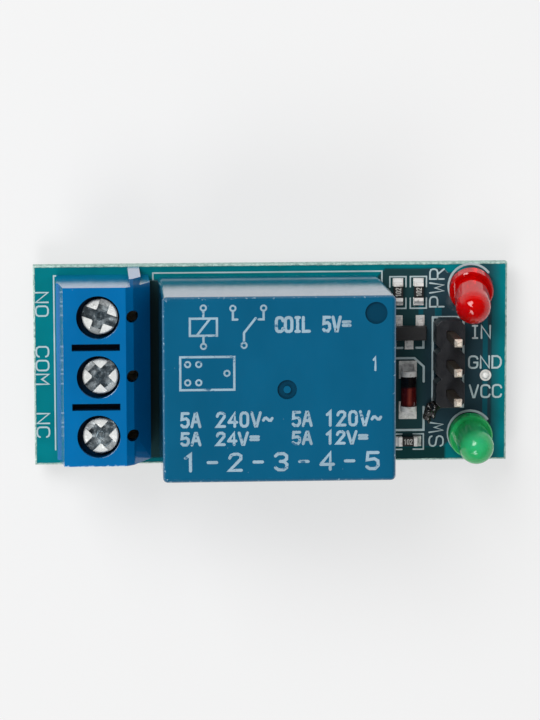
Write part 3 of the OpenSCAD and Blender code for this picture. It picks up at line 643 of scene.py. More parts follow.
@dataclass(frozen=True)
class PlatedPin(Finish):
    """Square pin: painted dark along its shaft as shade, painted bright at its tip as a highlight,
    and scratched there.

    Attributes:
        tip: Height at which the tip starts.
        shaft: Colour of the shaft, a painted shade.
        bright: Colour of the tip, its plating lit up as a painted highlight.
        rubbed: Colour of the marks on the tip.
    """

    tip: float
    shaft: RGB = (0.085, 0.066, 0.045)
    bright: RGB = (0.86, 0.76, 0.64)
    rubbed: RGB = (0.40, 0.29, 0.20)

    def coat(self, g: Paint) -> None:
        """Divides shaft and tip by their height, with a ragged border.

        Args:
            g: Node tree of the material.
        """
        end = g.span(g.ragged(g.axis("Z"), g.noise(3.0), 0.3), self.tip, self.tip + 0.35)
        marks = g.span(g.noise(4.5, 4.0, 0.6), 0.50, 0.60)
        tip = g.mix(g.times(marks, 0.7), self.bright, self.rubbed)
        # painted light: the shaft is painted dark as shade and the tip bright as a highlight
        g.set(Base_Color=g.mix(end, self.shaft, tip), Metallic=g.span(end, 0.0, 1.0, 0.7, 0.25),
              Roughness=g.uneven(g.noise(3.0), 0.28, 0.42),
              Normal=g.bump(g.noise(6.0), 0.003))


@dataclass(frozen=True)
class Epoxy(Finish):
    """Tinted lamp epoxy: clear or milky resin with fine waves in its skin.

    Attributes:
        colour: Tint of the resin.
        core: Brighter colour near the lens's axis, a painted glow.
        clear: Share of light that passes straight through.
        milk: Share of light that scatters inside.
        roughness: Roughness of the skin.
        axis: Foot of the lens's axis on the board.
        reach: Radius over which the core turns into the skin.
    """

    colour: RGB
    core: RGB
    clear: float
    milk: float
    roughness: float
    axis: Point
    reach: float = 1.6

    def coat(self, g: Paint) -> None:
        """Tints the resin by its distance from the axis, brighter near it as a painted glow.

        Args:
            g: Node tree of the material.
        """
        out = g.math("SQRT", g.plus(*(g.math("POWER", g.minus(g.axis(letter), foot), 2.0)
                                      for letter, foot in zip("XY", self.axis))))
        swirl = g.ragged(out, g.noise(0.9), 0.35)
        # painted glow: the resin is brighter towards the lens's axis
        g.set(Base_Color=g.patches(swirl, 0.1, self.reach, self.core, self.colour),
              Roughness=g.uneven(g.noise(1.2), self.roughness * 0.7, self.roughness * 1.3),
              Normal=g.bump(g.noise(0.8, 2.0), 0.02))
        surface = g.surface.inputs
        surface["IOR"].default_value = 1.52
        surface["Transmission Weight"].default_value = self.clear
        surface["Subsurface Weight"].default_value = self.milk
        surface["Subsurface Radius"].default_value = (1.0, 0.7, 0.5)
        surface["Subsurface Scale"].default_value = 0.9 * MM


@dataclass(frozen=True)
class BandedGlass(Finish):
    """Red glass sleeve of a diode with a black band at its cathode end.

    Attributes:
        low: End of the sleeve at the smallest Y.
        high: End of the sleeve at the largest Y.
        middle: X of the sleeve's axis.
        glass: Colour of the glass.
        stud_and_highlight: Colour of the middle stripe: the plated stud inside, brightened as a
            painted highlight.
        band: Colour of the band.
        foot: Colour at the end without a band.
        share: Share of the length under the band.
    """

    low: float
    high: float
    middle: float
    glass: RGB = (0.10, 0.006, 0.006)
    stud_and_highlight: RGB = (0.42, 0.07, 0.045)
    band: RGB = (0.008, 0.006, 0.006)
    foot: RGB = (0.05, 0.006, 0.004)
    share: float = 0.36

    def coat(self, g: Paint) -> None:
        """Lays the stripe of stud and painted highlight, the band and the dark foot along the
        sleeve.

        Args:
            g: Node tree of the material.
        """
        edge = self.high - (self.high - self.low) * self.share
        inked = g.span(g.ragged(g.axis("Y"), g.noise(1.6), 0.3), edge, edge + 0.22)
        foot = g.span(g.axis("Y"), self.low + 0.35, self.low, 0.0, 0.85)
        # the middle stripe: the stud inside seen through the glass, brightened as a painted
        # highlight
        stud_and_highlight = g.span(g.ragged(g.off("X", self.middle), g.noise(2.2), 0.2), 0.14, 0.34, 0.8, 0.0)
        colour = g.mix(inked, g.mix(stud_and_highlight, self.glass, self.stud_and_highlight), self.band)
        g.set(Base_Color=g.mix(foot, colour, self.foot),
              Roughness=g.uneven(g.noise(2.0), 0.05, 0.12),
              Normal=g.bump(g.noise(1.0, 2.0), 0.02))
        g.surface.inputs["Transmission Weight"].default_value = 0.25
        g.surface.inputs["IOR"].default_value = 1.52


@dataclass(frozen=True)
class Ink(Finish):
    """Printed ink with worn breaks through which the ground shows.

    Attributes:
        colour: Colour of the ink.
        ground: Colour under the ink.
        wear: Value of the noise above which the ink is gone.
        scale: Breaks for each millimetre.
    """

    colour: RGB
    ground: RGB
    wear: float = 0.7
    scale: float = 2.2

    def coat(self, g: Paint) -> None:
        """Lays the faded ink and its breaks.

        Args:
            g: Node tree of the material.
        """
        breaks = g.noise(self.scale, 6.0, 0.72, g.stretch((1.0, 1.6, 1.0)))
        faded = g.patches(g.noise(0.6), 0.35, 0.7, self.colour, dim(self.colour, 0.8))
        g.set(Base_Color=g.patches(breaks, self.wear, self.wear + 0.05, faded, self.ground),
              Roughness=g.uneven(g.noise(3.0, 2.0), 0.45, 0.62),
              Normal=g.bump(g.noise(6.0), 0.006))


# ---------------------------------------------------------------- meshes


@dataclass
class Sheaf:
    """Growing list of vertices and quads that becomes one mesh."""

    points: List[np.ndarray] = field(default_factory=list)
    quads: List[np.ndarray] = field(default_factory=list)
    count: int = 0

    def grid(self, net: np.ndarray, wrap: bool = False, flip: bool = False) -> None:
        """Adds a surface given on a grid of two parameters.

        Args:
            net: Points as rows, columns and three coordinates.
            wrap: Whether the last column joins the first.
            flip: Whether the faces look the other way.
        """
        rows, cols = net.shape[:2]
        number = np.arange(rows * cols).reshape(rows, cols) + self.count
        right = np.roll(number, -1, axis=1) if wrap else number[:, 1:]
        left = number if wrap else number[:, :-1]
        quads = np.stack([left[:-1], right[:-1], right[1:], left[1:]], axis=-1).reshape(-1, 4)
        self.points.append(net.reshape(-1, 3))
        self.quads.append(quads[:, ::-1] if flip else quads)
        self.count += rows * cols

    def ribbon(self, line: np.ndarray, width: float, low: float, high: float) -> None:
        """Adds a raised line with round ends along a path on the board.

        Each path point gives four points across it: at half a width on both sides low down and
        at 0.42 of a width high up. At a bend the offset follows the mitre, the sum of the two
        unit normals divided by one plus their product. The ends go on for half a width while
        the width falls as a circle does. Each line lies a trace higher than the last one, so
        that crossing lines don't share a face.

        Args:
            line: Path as rows of X and Y.
            width: Width of the line.
            low: Height of its foot.
            high: Height of its face.
        """
        sharpest, trace = 0.35, 0.002
        step = np.diff(line, axis=0)
        step /= np.maximum(np.linalg.norm(step, axis=1, keepdims=True), 1e-9)
        normal = np.stack([-step[:, 1], step[:, 0]], axis=1)
        first, last = np.vstack([normal[:1], normal]), np.vstack([normal, normal[-1:]])
        mitre = (first + last) / np.maximum(
            1.0 + (first * last).sum(axis=1, keepdims=True), sharpest)
        size = np.ones(len(line))
        if np.linalg.norm(line[0] - line[-1]) > 1e-6:
            turn = np.radians([90.0, 60.0, 30.0])
            out = np.sin(turn)[:, None] * width / 2
            line = np.vstack([line[0] - step[0] * out, line, line[-1] + step[-1] * out[::-1]])
            mitre = np.vstack([np.repeat(mitre[:1], 3, 0), mitre, np.repeat(mitre[-1:], 3, 0)])
            cap = np.maximum(np.cos(turn), 0.04)
            size = np.concatenate([cap, size, cap[::-1]])
        elif len(line) > 2:
            closing = (normal[0] + normal[-1]) / max(1.0 + normal[0] @ normal[-1], sharpest)
            mitre[0] = mitre[-1] = closing
        share = np.array([0.5, 0.42, -0.42, -0.5])
        high += trace * (len(self.points) % 5)
        level = np.array([low, high, high, low])
        flat = line[:, None, :] + mitre[:, None, :] * (
            share[None, :] * (size * width)[:, None])[:, :, None]
        net = np.concatenate([flat, np.broadcast_to(
            level[None, :, None], (*flat.shape[:2], 1))], axis=2)
        self.grid(net, wrap=True)

    def mesh(self, name: str, finish: bpy.types.Material, smooth: bool) -> bpy.types.Mesh:
        """Turns the sheaf into a mesh in metres.

        Args:
            name: Name of the mesh.
            finish: Its material.
            smooth: Whether its faces are shaded smooth.

        Returns:
            The mesh.
        """
        mesh = bpy.data.meshes.new(name)
        quads = np.concatenate(self.quads)
        mesh.from_pydata((np.concatenate(self.points) * MM).tolist(), [], quads.tolist())
        mesh.polygons.foreach_set("use_smooth", np.full(len(quads), smooth))
        mesh.validate()
        mesh.materials.append(finish)
        return mesh

    def piece(self, name: str, finish: bpy.types.Material,
              smooth: bool = False) -> None:
        """Turns the sheaf into an object that rides on the board.

        Args:
            name: Name of the piece.
            finish: Material of the piece.
            smooth: Whether the faces are shaded smooth.
        """
        made = link(name, self.mesh(name, finish, smooth))
        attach(made, "board")
        LOG.info("%s: %d faces on the board", name, len(made.data.polygons))


def arc(middle: Point, radius: float, start: float, end: float, steps: int) -> np.ndarray:
    """Returns rows of X and Y: middle plus radius times cosine and sine, for angles in degrees."""
    angle = np.radians(np.linspace(start, end, steps + 1))
    return np.stack([middle[0] + radius * np.cos(angle), middle[1] + radius * np.sin(angle)], 1)


# Letters 4 wide and 6 high. A comma parts the points of a stroke, a semicolon the strokes.
WIDE, TALL = 4, 6
TOP_BOW = "4 4.7, 3.6 5.6, 2.7 6, 1.3 6, 0.4 5.6, 0 4.7"
LOW_BOW = "0 1.3, 0.4 0.4, 1.3 0, 2.7 0, 3.6 0.4, 4 1.3"
BOWL = "0 0, 0 6, 2.8 6, 3.7 5.6, 4 4.8, 4 3.9, 3.7 3.1, 2.8 2.7, 0 2.7"
GLYPHS: Dict[str, str] = {
    "A": "0 0, 1.7 6, 2.3 6, 4 0; 0.7 2.2, 3.3 2.2",
    "C": f"{TOP_BOW}, {LOW_BOW}",
    "D": "0 0, 0 6, 2.3 6, 3.4 5.3, 4 4, 4 2, 3.4 0.7, 2.3 0, 0 0",
    "G": f"{TOP_BOW}, {LOW_BOW}, 4 2.8, 2.4 2.8",
    "I": "1 0, 3 0; 2 0, 2 6; 1 6, 3 6",
    "L": "0 6, 0 0, 3.6 0",
    "M": "0 0, 0 6, 2 2.6, 4 6, 4 0",
    "N": "0 0, 0 6, 4 0, 4 6",
    "O": f"1.3 0, 2.7 0, 3.6 0.4, 4 1.3, {TOP_BOW}, 0 1.3, 0.4 0.4, 1.3 0",
    "P": BOWL,
    "R": f"{BOWL}; 1.9 2.7, 4 0",
    "S": "4 4.9, 3.6 5.7, 2.7 6, 1.3 6, 0.4 5.6, 0 4.8, 0 4.1, 0.5 3.3, 3.5 2.7, 4 1.9, 4 1.2, "
         "3.6 0.4, 2.7 0, 1.3 0, 0.4 0.3, 0 1.1",
    "V": "0 6, 1.7 0, 2.3 0, 4 6",
    "W": "0 6, 0.8 0, 2 3.8, 3.2 0, 4 6",
    "0": "1.4 0, 2.6 0, 3.3 0.5, 3.6 1.5, 3.6 4.5, 3.3 5.5, 2.6 6, 1.4 6, 0.7 5.5, 0.4 4.5, "
         "0.4 1.5, 0.7 0.5, 1.4 0",
    "1": "0.9 4.8, 2.3 6, 2.3 0",
    "2": "0.4 4.6, 0.8 5.6, 1.6 6, 2.8 6, 3.6 5.4, 3.6 4.2, 0.4 0, 3.7 0",
    "3": "0.4 5.2, 1.2 6, 2.8 6, 3.6 5.2, 3.6 4.0, 2.8 3.2, 1.8 3.1; "
         "2.2 3.1, 3.0 2.9, 3.7 2.0, 3.6 0.8, 2.8 0, 1.2 0, 0.4 0.8",
    "4": "3.0 0, 3.0 6, 0.3 1.8; 0.3 1.8, 3.9 1.8",
    "5": "3.6 6, 0.7 6, 0.5 3.3, 2.6 3.7, 3.6 2.9, 3.7 1.2, 2.8 0, 1.2 0, 0.4 0.7",
    "-": "0.8 3, 3.2 3",
    "~": "0 2.6, 0.6 3.5, 1.3 3.6, 2.6 2.5, 3.4 2.5, 4 3.4",
    "=": "0.2 3.9, 3.8 3.9; 0.2 2.4, 1.1 2.4; 1.55 2.4, 2.45 2.4; 2.9 2.4, 3.8 2.4",
}


def strokes(letter: str) -> List[np.ndarray]:
    """Returns the strokes of a letter, each as two rows: how far along and how far up."""
    return [np.array([point.split() for point in stroke.split(",")], float).T
            for stroke in GLYPHS[letter].split(";")]


@dataclass(frozen=True)
class Word:
    """A short generic marking in a stroke letter.

    Attributes:
        text: The marking.
        low: Lowest corner of the space it fills.
        high: Highest corner of the space it fills.
        turn: Which way it is read.
        stroke: Width of the strokes.
        gap: Space between letters, where a letter is 4 wide.
    """

    text: str
    low: Point
    high: Point
    turn: Turn = Turn.LEVEL
    stroke: float = 0.15
    gap: float = 1.6

    def draw(self, sheaf: Sheaf, foot: float, face: float, shift: float = 0.0) -> None:
        """Adds the strokes, laid out from end to end of the space.

        A letter point (u, v) goes to the share u / length along the reading direction and v / 6
        across it, inside the space less half a stroke on each side.

        Args:
            sheaf: Where the strokes go.
            foot: Height of the strokes' foot.
            face: Height of the strokes' face.
            shift: How far the space is moved along X.
        """
        length = len(self.text) * WIDE + (len(self.text) - 1) * self.gap
        low = np.array(self.low) + (shift, 0.0) + self.stroke / 2
        size = np.array(self.high) + (shift, 0.0) - self.stroke / 2 - low
        for i, letter in enumerate(self.text):
            for u, v in strokes(letter):
                u, v = (u + i * (WIDE + self.gap)) / length, v / TALL
                pair = {Turn.LEVEL: (u, v), Turn.UP: (1 - v, u), Turn.DOWN: (v, 1 - u)}[self.turn]
                sheaf.ribbon(low + np.stack(pair, 1) * size, self.stroke, foot, face)


def soften(node: bpy.types.Object, width: float, angle: float = 35.0) -> None:
    """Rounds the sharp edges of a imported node: its loose triangles are welded, then bevelled.

    Args:
        node: The node.
        width: Width of the bevel in millimetres.
        angle: Edges that turn by more than this many degrees are rounded.
    """
    weld = node.modifiers.new("weld", "WELD")
    weld.merge_threshold = 0.002 * MM
    bevel = node.modifiers.new("soft edges", "BEVEL")
    bevel.width = width * MM
    bevel.segments = 2
    bevel.limit_method = "ANGLE"
    bevel.angle_limit = math.radians(angle)
    bevel.harden_normals = True


# ---------------------------------------------------------------- sub-assemblies


@dataclass
class Part:
    """A sub-assembly of the board.

    Attributes:
        nodes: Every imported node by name.
    """

    nodes: Dict[str, bpy.types.Object]

    def dress(self) -> None:
        """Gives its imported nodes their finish; each part has its own."""
        raise NotImplementedError

    def build(self) -> None:
        """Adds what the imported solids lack, which is nothing for most parts."""

    def coat(self, names: Sequence[str], finish: Finish, material: str) -> None:
        """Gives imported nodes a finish.

        Args:
            names: The nodes.
            finish: Their finish.
            material: Name of the material made from it.
        """
        made = finish.make(material)
        for name in names:
            self.nodes[name].data.materials.clear()
            self.nodes[name].data.materials.append(made)
            LOG.info("%s: %s", name, material)


@dataclass
class Legend:
    """White legend of the board.

    Attributes:
        top: Height of the board's upper face.
        thick: Thickness of the ink.
        line: Width of an outline.
        words: Names of the terminals, the pins and the lamps.
    """

    top: float = 3.2
    thick: float = 0.018
    line: float = 0.13
    words: Tuple[Word, ...] = (
        Word("PWR", (13.69, 4.73), (15.05, 8.15), Turn.UP),
        Word("SW", (13.69, -7.49), (15.05, -5.27), Turn.UP),
        Word("IN", (17.26, 1.95), (19.12, 3.19), Turn.LEVEL, 0.17, 1.0),
        Word("GND", (17.12, -0.67), (20.08, 0.52), Turn.LEVEL, 0.17, 1.5),
        Word("VCC", (17.20, -3.25), (20.13, -2.02), Turn.LEVEL, 0.17, 1.5),
        Word("NO", (-20.36, 4.25), (-19.16, 6.42), Turn.DOWN),
        Word("COM", (-20.36, -1.68), (-19.16, 1.72), Turn.DOWN),
        Word("NC", (-20.36, -6.29), (-19.16, -4.10), Turn.DOWN),
    )

    def outlines(self) -> List[Tuple[float, np.ndarray]]:
        """Returns the outlines round the parts, as widths and paths on the board."""
        slim, wide = self.line, self.line * 1.6
        paths = [
            # the relay, the terminal and the header
            (slim, [(-10.2, 7.4), (-10.2, 7.95), (9.59, 7.95), (9.59, -7.95), (-9.6, -7.95)]),
            (slim, [(-18.2, 7.78), (-18.72, 7.78), (-18.72, -7.35)]),
            (wide, [(16.7, 3.88), (14.03, 3.88), (14.03, -3.98), (16.7, -3.98), (16.7, 3.88)]),
        ]
        # brackets round the ends of the upright resistors
        paths += [(slim, [(x - 0.7, y + s * 0.5), (x - 0.7, y + s * 1.38),
                          (x + 0.7, y + s * 1.38), (x + 0.7, y + s * 0.5)])
                  for x, y in ((10.98, 6.07), (12.76, 6.07)) for s in (-1, 1)]
        # brackets at the level resistor, and corners below the transistor
        for s in (-1, 1):
            near, far = 11.87 + s * 0.5, 11.87 + s * 1.38
            paths.append((slim, [(near, -6.33), (far, -6.33), (far, -7.68), (near, -7.68)]))
            paths.append((wide, [(12.0 + s * 0.62, 1.24), (12.0 + s * 1.22, 1.24),
                                 (12.0 + s * 1.22, 2.1)]))
        # the frame of the diode, open towards the relay
        paths += [(wide, [(9.9, -0.3), (10.6, 0.33), (12.45, 0.33), (13.26, -0.42),
                          (13.26, -1.72)]),
                  (wide, [(9.9, -5.98), (13.26, -5.98), (13.26, -3.97)])]
        # open rings round the lamps
        paths += [(wide, arc((17.32, y), 1.93, 38, 322, 28)) for y in (6.58, -6.27)]
        return [(width, np.array(path)) for width, path in paths]

    def build(self) -> None:
        """Makes the legend as one piece on the board."""
        sheaf = Sheaf()
        foot, face = self.top - SINK, self.top + self.thick
        for width, path in self.outlines():
            sheaf.ribbon(path, width, foot, face)
        for word in self.words:
            word.draw(sheaf, foot, face)
        ink = Ink((0.46, 0.58, 0.60), (0.06, 0.22, 0.24), 0.70).make("legend_ink")
        sheaf.piece("board_legend", ink)


@dataclass
class CircuitBoard(Part):
    """The laminate with its mask, tinned rings and solder.

    Attributes:
        legend: The white legend.
        via: Place of the free plated hole.
        bead: Radius of the solder bead in it.
        crown: Height of the bead's middle.
        sag: How much lower its rim is.
    """

    legend: Legend = field(default_factory=Legend)
    via: Point = (18.66, -1.23)
    bead: float = 0.322
    crown: float = 3.23
    sag: float = 0.12

    def dress(self) -> None:
        """Gives the mask, the tin and the solder their finish."""
        self.coat(["circuit_board"], SolderMask(), "solder_mask")
        tin = Metal((0.78, 0.78, 0.75), (0.40, 0.40, 0.38), 0.26, 1.0, 0.60, 0.012, 0.08)
        self.coat(["tinned_pads"], tin, "tinned_copper")
        solder = Metal((0.80, 0.80, 0.79), (0.26, 0.26, 0.26), 0.16, 0.9, 0.57, 0.02, 0.2)
        self.coat(["lead_solder", "chip_solder"], solder, "solder")

    def build(self) -> None:
        """Adds the legend and the solder bead in the via, painted near white for the light seen
        through it.

        The bead is a cap whose height falls with the square of the distance from its middle.
        """
        self.legend.build()
        turn, out = np.meshgrid(np.linspace(0, 2 * math.pi, 33)[:-1], np.linspace(0.01, 1, 8))
        net = np.stack([out * np.cos(turn), out * np.sin(turn), out ** 2], -1)
        sheaf = Sheaf()
        sheaf.grid(net * (self.bead, self.bead, -self.sag) + (*self.via, self.crown), wrap=True)
        # a solder bead, painted near white as the light seen through the open via
        bright = Metal((0.96, 0.96, 0.94), (0.75, 0.75, 0.73), 0.4, 2.0, 0.62, 0.004, 0.05)
        sheaf.piece("via_bead", bright.make("via_solder_painted_light"), smooth=True)


@dataclass
class TerminalBlock(Part):
    """The blue screw terminal with its clamps.

    Attributes:
        poles: Names of the three poles.
        wells: Patch of the housing's top with the screw wells and the slots.
        dark: How far below the top they get painted shade.
    """

    poles: Tuple[str, ...] = ("no", "com", "nc")
    wells: Window = Window((-17.8, -7.0), (-12.8, 7.7))
    dark: float = 0.2

    def dress(self) -> None:
        """Gives the housing, the bars, the cages and the screws their finish."""
        box = in_mm(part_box("terminal_housing"))
        # the screw wells and the holes beside them get painted shade
        housing = Moulded((0.0, 0.138, 0.37), (0.0, 0.118, 0.32), 0.10, 0.002, 0.5,
                          (0.45, 0.62, 0.80), box, 0.35, wells=(self.wells, box[1][2] - self.dark))
        self.coat(["terminal_housing"], housing, "terminal_blue")
        soften(self.nodes["terminal_housing"], 0.07)
        bar = Metal((0.78, 0.70, 0.50), (0.42, 0.36, 0.24), 0.30, 0.9)
        self.coat([f"contact_bar_{pole}" for pole in self.poles], bar, "tinned_brass")
        cage = Metal((0.62, 0.64, 0.66), (0.34, 0.36, 0.38), 0.34, 0.8)
        self.coat([f"clamp_cage_{pole}" for pole in self.poles], cage, "cage_steel")
        screw = PlatedScrew(in_mm(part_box("clamp_screw_no"))[1][2])
        self.coat([f"clamp_screw_{pole}" for pole in self.poles], screw, "screw_plating")
        for pole in self.poles:
            soften(self.nodes[f"clamp_screw_{pole}"], 0.05, 40.0)


@dataclass
class Relay(Part):
    """The sealed relay: cover, base, coil and contacts, and the print on its top.

    Places in the print are taken from the relay's middle along X.

    Attributes:
        ink: Thickness of the print.
        line: Width of the diagram's lines.
        ring: Radius of its rings.
        sunk: How far below the top a recess gets painted shade.
        words: Plain ratings of the coil and the contacts, and plain numbers.
    """

    ink: float = 0.012
    line: float = 0.2
    ring: float = 0.22
    sunk: float = 0.12
    words: Tuple[Word, ...] = (
        Word("COIL", (-0.4, 4.65), (2.6, 6.05), stroke=0.27, gap=1.5),
        Word("5V=", (3.4, 4.65), (5.9, 6.05), stroke=0.27, gap=1.5),
        Word("1", (7.5, 1.45), (8.1, 2.7), stroke=0.2),
        *(Word(text, (left, low), (right, high), stroke=0.25, gap=1.4)
          for low, high, row in (
              (-3.1, -1.75, (("5A", -8.2, -6.4), ("240V~", -5.3, -0.5),
                             ("5A", 0.9, 2.7), ("120V~", 3.6, 8.4))),
              (-4.6, -3.4, (("5A", -8.2, -6.4), ("24V=", -5.3, -1.6),
                            ("5A", 0.9, 2.7), ("12V=", 3.6, 7.3))))
          for text, left, right in row),
        Word("1-2-3-4-5", (-8.1, -6.75), (8.3, -5.15), stroke=0.27, gap=2.6),
    )

    def dress(self) -> None:
        """Gives the cover, the base and the works their finish."""
        box = in_mm(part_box("relay_cover"))
        # the recesses of the relay's top get painted shade
        cover = Moulded((0.002, 0.097, 0.196), (0.0015, 0.086, 0.174), 0.09, 0.002, 0.6,
                        (0.36, 0.52, 0.62), box, 0.6, sunk=box[1][2] - self.sunk)
        self.coat(["relay_cover"], cover, "relay_blue")
        base = Moulded((0.012, 0.013, 0.015), (0.02, 0.02, 0.022), 0.5)
        self.coat(["relay_base"], base, "relay_black")
        bobbin = Moulded((0.72, 0.70, 0.62), (0.64, 0.61, 0.52), 0.45)
        self.coat(["relay_bobbin"], bobbin, "bobbin_white")
        wire = Metal((0.72, 0.30, 0.12), (0.34, 0.12, 0.05), 0.32, 2.0, 0.6, 0.02,
                     stretch=(0.3, 0.3, 9.0))
        self.coat(["coil_winding"], wire, "copper_wire")
        iron = Metal((0.50, 0.51, 0.52), (0.30, 0.30, 0.31), 0.38, 0.7)
        self.coat(["coil_core", "relay_yoke", "relay_armature"], iron, "soft_iron")
        bronze = Metal((0.72, 0.50, 0.26), (0.44, 0.28, 0.13), 0.30, 0.8)
        self.coat(["contact_spring", "common_terminal", "no_strip", "nc_strip"], bronze,
                  "spring_bronze")
        silver = Metal((0.85, 0.84, 0.80), (0.5, 0.48, 0.44), 0.25, 1.5)
        self.coat(["moving_contacts", "fixed_contacts"], silver, "silver_alloy")
        self.coat(["coil_leads"], Metal((0.75, 0.75, 0.73), (0.4, 0.4, 0.38)), "tinned_lead")

    def diagram(self, sheaf: Sheaf, foot: float, face: float, middle: float) -> None:
        """Draws the plain circuit diagram of a changeover relay and its pin layout.

        Args:
            sheaf: Where the strokes go.
            foot: Height of the strokes' foot.
            face: Height of the strokes' face.
            middle: Middle of the relay along X.
        """
        x, y = -6.2, 5.2
        lines = [
            # the coil with its stroke and leads
            [(x - 1.1, y - 0.7), (x + 1.1, y - 0.7), (x + 1.1, y + 0.7), (x - 1.1, y + 0.7),
             (x - 1.1, y - 0.7)], [(x - 0.55, y - 0.7), (x + 0.55, y + 0.7)],
            [(x, y + 0.7), (x, y + 1.35)], [(x, y - 0.7), (x, y - 1.35)],
            # the contacts
            [(-2.9, 3.9), (-2.9, 4.7), (-1.95, 5.9)],
            [(-3.8, 6.5), (-3.8, 5.8), (-3.45, 5.8)], [(-1.3, 6.5), (-1.3, 5.8), (-1.7, 5.8)],
            # the case from above
            [(-8.1, 0.05), (-3.7, 0.05), (-3.7, 2.75), (-8.1, 2.75), (-8.1, 0.05)]]
        for line in lines:
            sheaf.ribbon(np.array(line) + (middle, 0.0), self.line, foot, face)
        rings = [(x, y + 1.57), (x, y - 1.57), (-2.9, 3.68), (-3.8, 6.72), (-1.3, 6.72),
                 (-7.5, 0.65), (-7.5, 2.15), (-4.3, 1.4), (-6.6, 0.65), (-6.6, 2.15)]
        for left, up in rings:
            sheaf.ribbon(arc((left + middle, up), self.ring, 0, 360, 14), self.line * 0.8,
                         foot, face)

    def build(self) -> None:
        """Adds the print: a diagram, plain ratings and rows of plain numbers."""
        low, high = in_mm(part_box("relay_cover"))
        middle, foot, face = (low[0] + high[0]) / 2, high[2] - SINK, high[2] + self.ink
        sheaf = Sheaf()
        self.diagram(sheaf, foot, face, middle)
        for word in self.words:
            word.draw(sheaf, foot, face, middle)
        ink = Ink((0.27, 0.40, 0.49), (0.015, 0.11, 0.21), 0.585, 1.3).make("relay_ink")
        sheaf.piece("relay_print", ink)


@dataclass
class PinHeader(Part):
    """The three-pin header.

    Attributes:
        tip: Length of the pins' tips, painted bright as highlights.
        corner: Where the melted flux lies, from the strip's lowest corner.
        swell: Factor on the size of its lumps.
        lobes: Place, size and phase of each lump.
    """

    tip: float = 0.9
    corner: Point = (0.12, -0.15)
    swell: float = 1.15
    lobes: Tuple[Tuple[Triple, Triple, float], ...] = (
        ((0.02, -0.02, 0.42), (0.42, 0.40, 0.40), 1.0),
        ((-0.38, -0.32, 0.30), (0.44, 0.46, 0.34), 2.3),
        ((-0.62, -0.86, 0.16), (0.26, 0.40, 0.22), 4.1),
        ((-0.10, -0.72, 0.12), (0.22, 0.34, 0.18), 5.2),
        ((-0.45, -1.22, 0.08), (0.14, 0.26, 0.10), 0.4),
    )

    def dress(self) -> None:
        """Gives the strip and the pins their finish."""
        strip = Moulded((0.009, 0.010, 0.013), (0.015, 0.016, 0.020), 0.36, 0.02)
        self.coat(["header_strip"], strip, "header_black")
        soften(self.nodes["header_strip"], 0.06)
        pins = PlatedPin(in_mm(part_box("header_pins"))[1][2] - self.tip)
        self.coat(["header_pins"], pins, "gold_flash")

    def build(self) -> None:
        """Adds the melted flux at the foot of the strip.

        Each lump is a sphere whose radius is one plus waves of both angles, so that it is
        knobbly, flattened and set at the strip's corner.
        """
        ground = in_mm(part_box("header_strip"))[0]
        sheaf = Sheaf()
        polar, around = np.meshgrid(np.linspace(0.02, math.pi - 0.02, 26),
                                    np.linspace(0, 2 * math.pi, 41)[:-1], indexing="ij")
        unit = np.stack([np.sin(polar) * np.cos(around), np.sin(polar) * np.sin(around),
                         np.cos(polar)], -1)
        for place, size, phase in self.lobes:
            wave = 1 + 0.16 * np.sin(3 * around + phase) * np.sin(polar) ** 2 \
                + 0.12 * np.cos(5 * polar + 2 * around + phase) * np.sin(polar)
            net = unit * wave[..., None] * np.array(size) * self.swell \
                + ground + (*self.corner, 0.0) + place
            net[..., 2] = np.maximum(net[..., 2], ground[2])
            sheaf.grid(net, wrap=True, flip=True)
        flux = Moulded((0.004, 0.004, 0.005), (0.016, 0.013, 0.010), 0.07, 0.02, 0.9)
        sheaf.piece("melted_flux", flux.make("burnt_flux"), smooth=True)


@dataclass
class Lamp(Part):
    """One 3 mm lamp.

    Attributes:
        name: First part of its nodes' names.
        finish: Its epoxy.
    """

    name: str
    finish: Epoxy

    def dress(self) -> None:
        """Gives the lens and the stamped frame their finish."""
        self.coat([f"{self.name}_lens"], self.finish, f"{self.name}_epoxy")
        frame = Metal((0.76, 0.75, 0.72), (0.42, 0.40, 0.36))
        self.coat([f"{self.name}_frame"], frame, f"{self.name}_tin")


@dataclass
class ChipParts(Part):
    """Resistors, transistor and glass diode.

    Attributes:
        resistors: Numbers of the resistors and the way their code is read.
        code: Half of the code's length and height.
    """

    resistors: Tuple[Tuple[int, Turn], ...] = ((1, Turn.UP), (2, Turn.UP), (3, Turn.LEVEL))
    code: Point = (0.40, 0.24)

    def dress(self) -> None:
        """Gives each chip part its finish."""
        glaze = Moulded((0.013, 0.012, 0.012), (0.022, 0.020, 0.020), 0.34, 0.008)
        self.coat([f"resistor_{i}_body" for i, _ in self.resistors], glaze, "resistor_glaze")
        ends = Metal((0.90, 0.89, 0.86), (0.42, 0.40, 0.36), 0.18, 1.6, 0.57, 0.02, 0.12)
        self.coat([*(f"resistor_{i}_ends" for i, _ in self.resistors), "diode_ends",
                   "transistor_legs"], ends, "tinned_end")
        black = Moulded((0.018, 0.018, 0.019), (0.028, 0.028, 0.029), 0.48, 0.02)
        self.coat(["transistor_body"], black, "transistor_black")
        soften(self.nodes["transistor_body"], 0.05)
        low, high = in_mm(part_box("diode_glass"))
        self.coat(["diode_glass"], BandedGlass(low[1], high[1], (low[0] + high[0]) / 2),
                  "diode_glass")
        self.coat(["diode_die"], Metal((0.2, 0.2, 0.22), (0.1, 0.1, 0.1)), "silicon")

    def build(self) -> None:
        """Adds the plain value codes on the resistors."""
        sheaf = Sheaf()
        for i, turn in self.resistors:
            low, high = in_mm(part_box(f"resistor_{i}_body"))
            middle = ((low + high) / 2)[:2]
            half = np.array(self.code if turn is Turn.LEVEL else self.code[::-1])
            Word("102", tuple(middle - half), tuple(middle + half), turn, 0.07, 1.2).draw(
                sheaf, high[2] - 0.002, high[2] + 0.008)
        ink = Ink((0.62, 0.62, 0.58), (0.1, 0.1, 0.1), 0.72).make("code_ink")
        sheaf.piece("resistor_codes", ink)


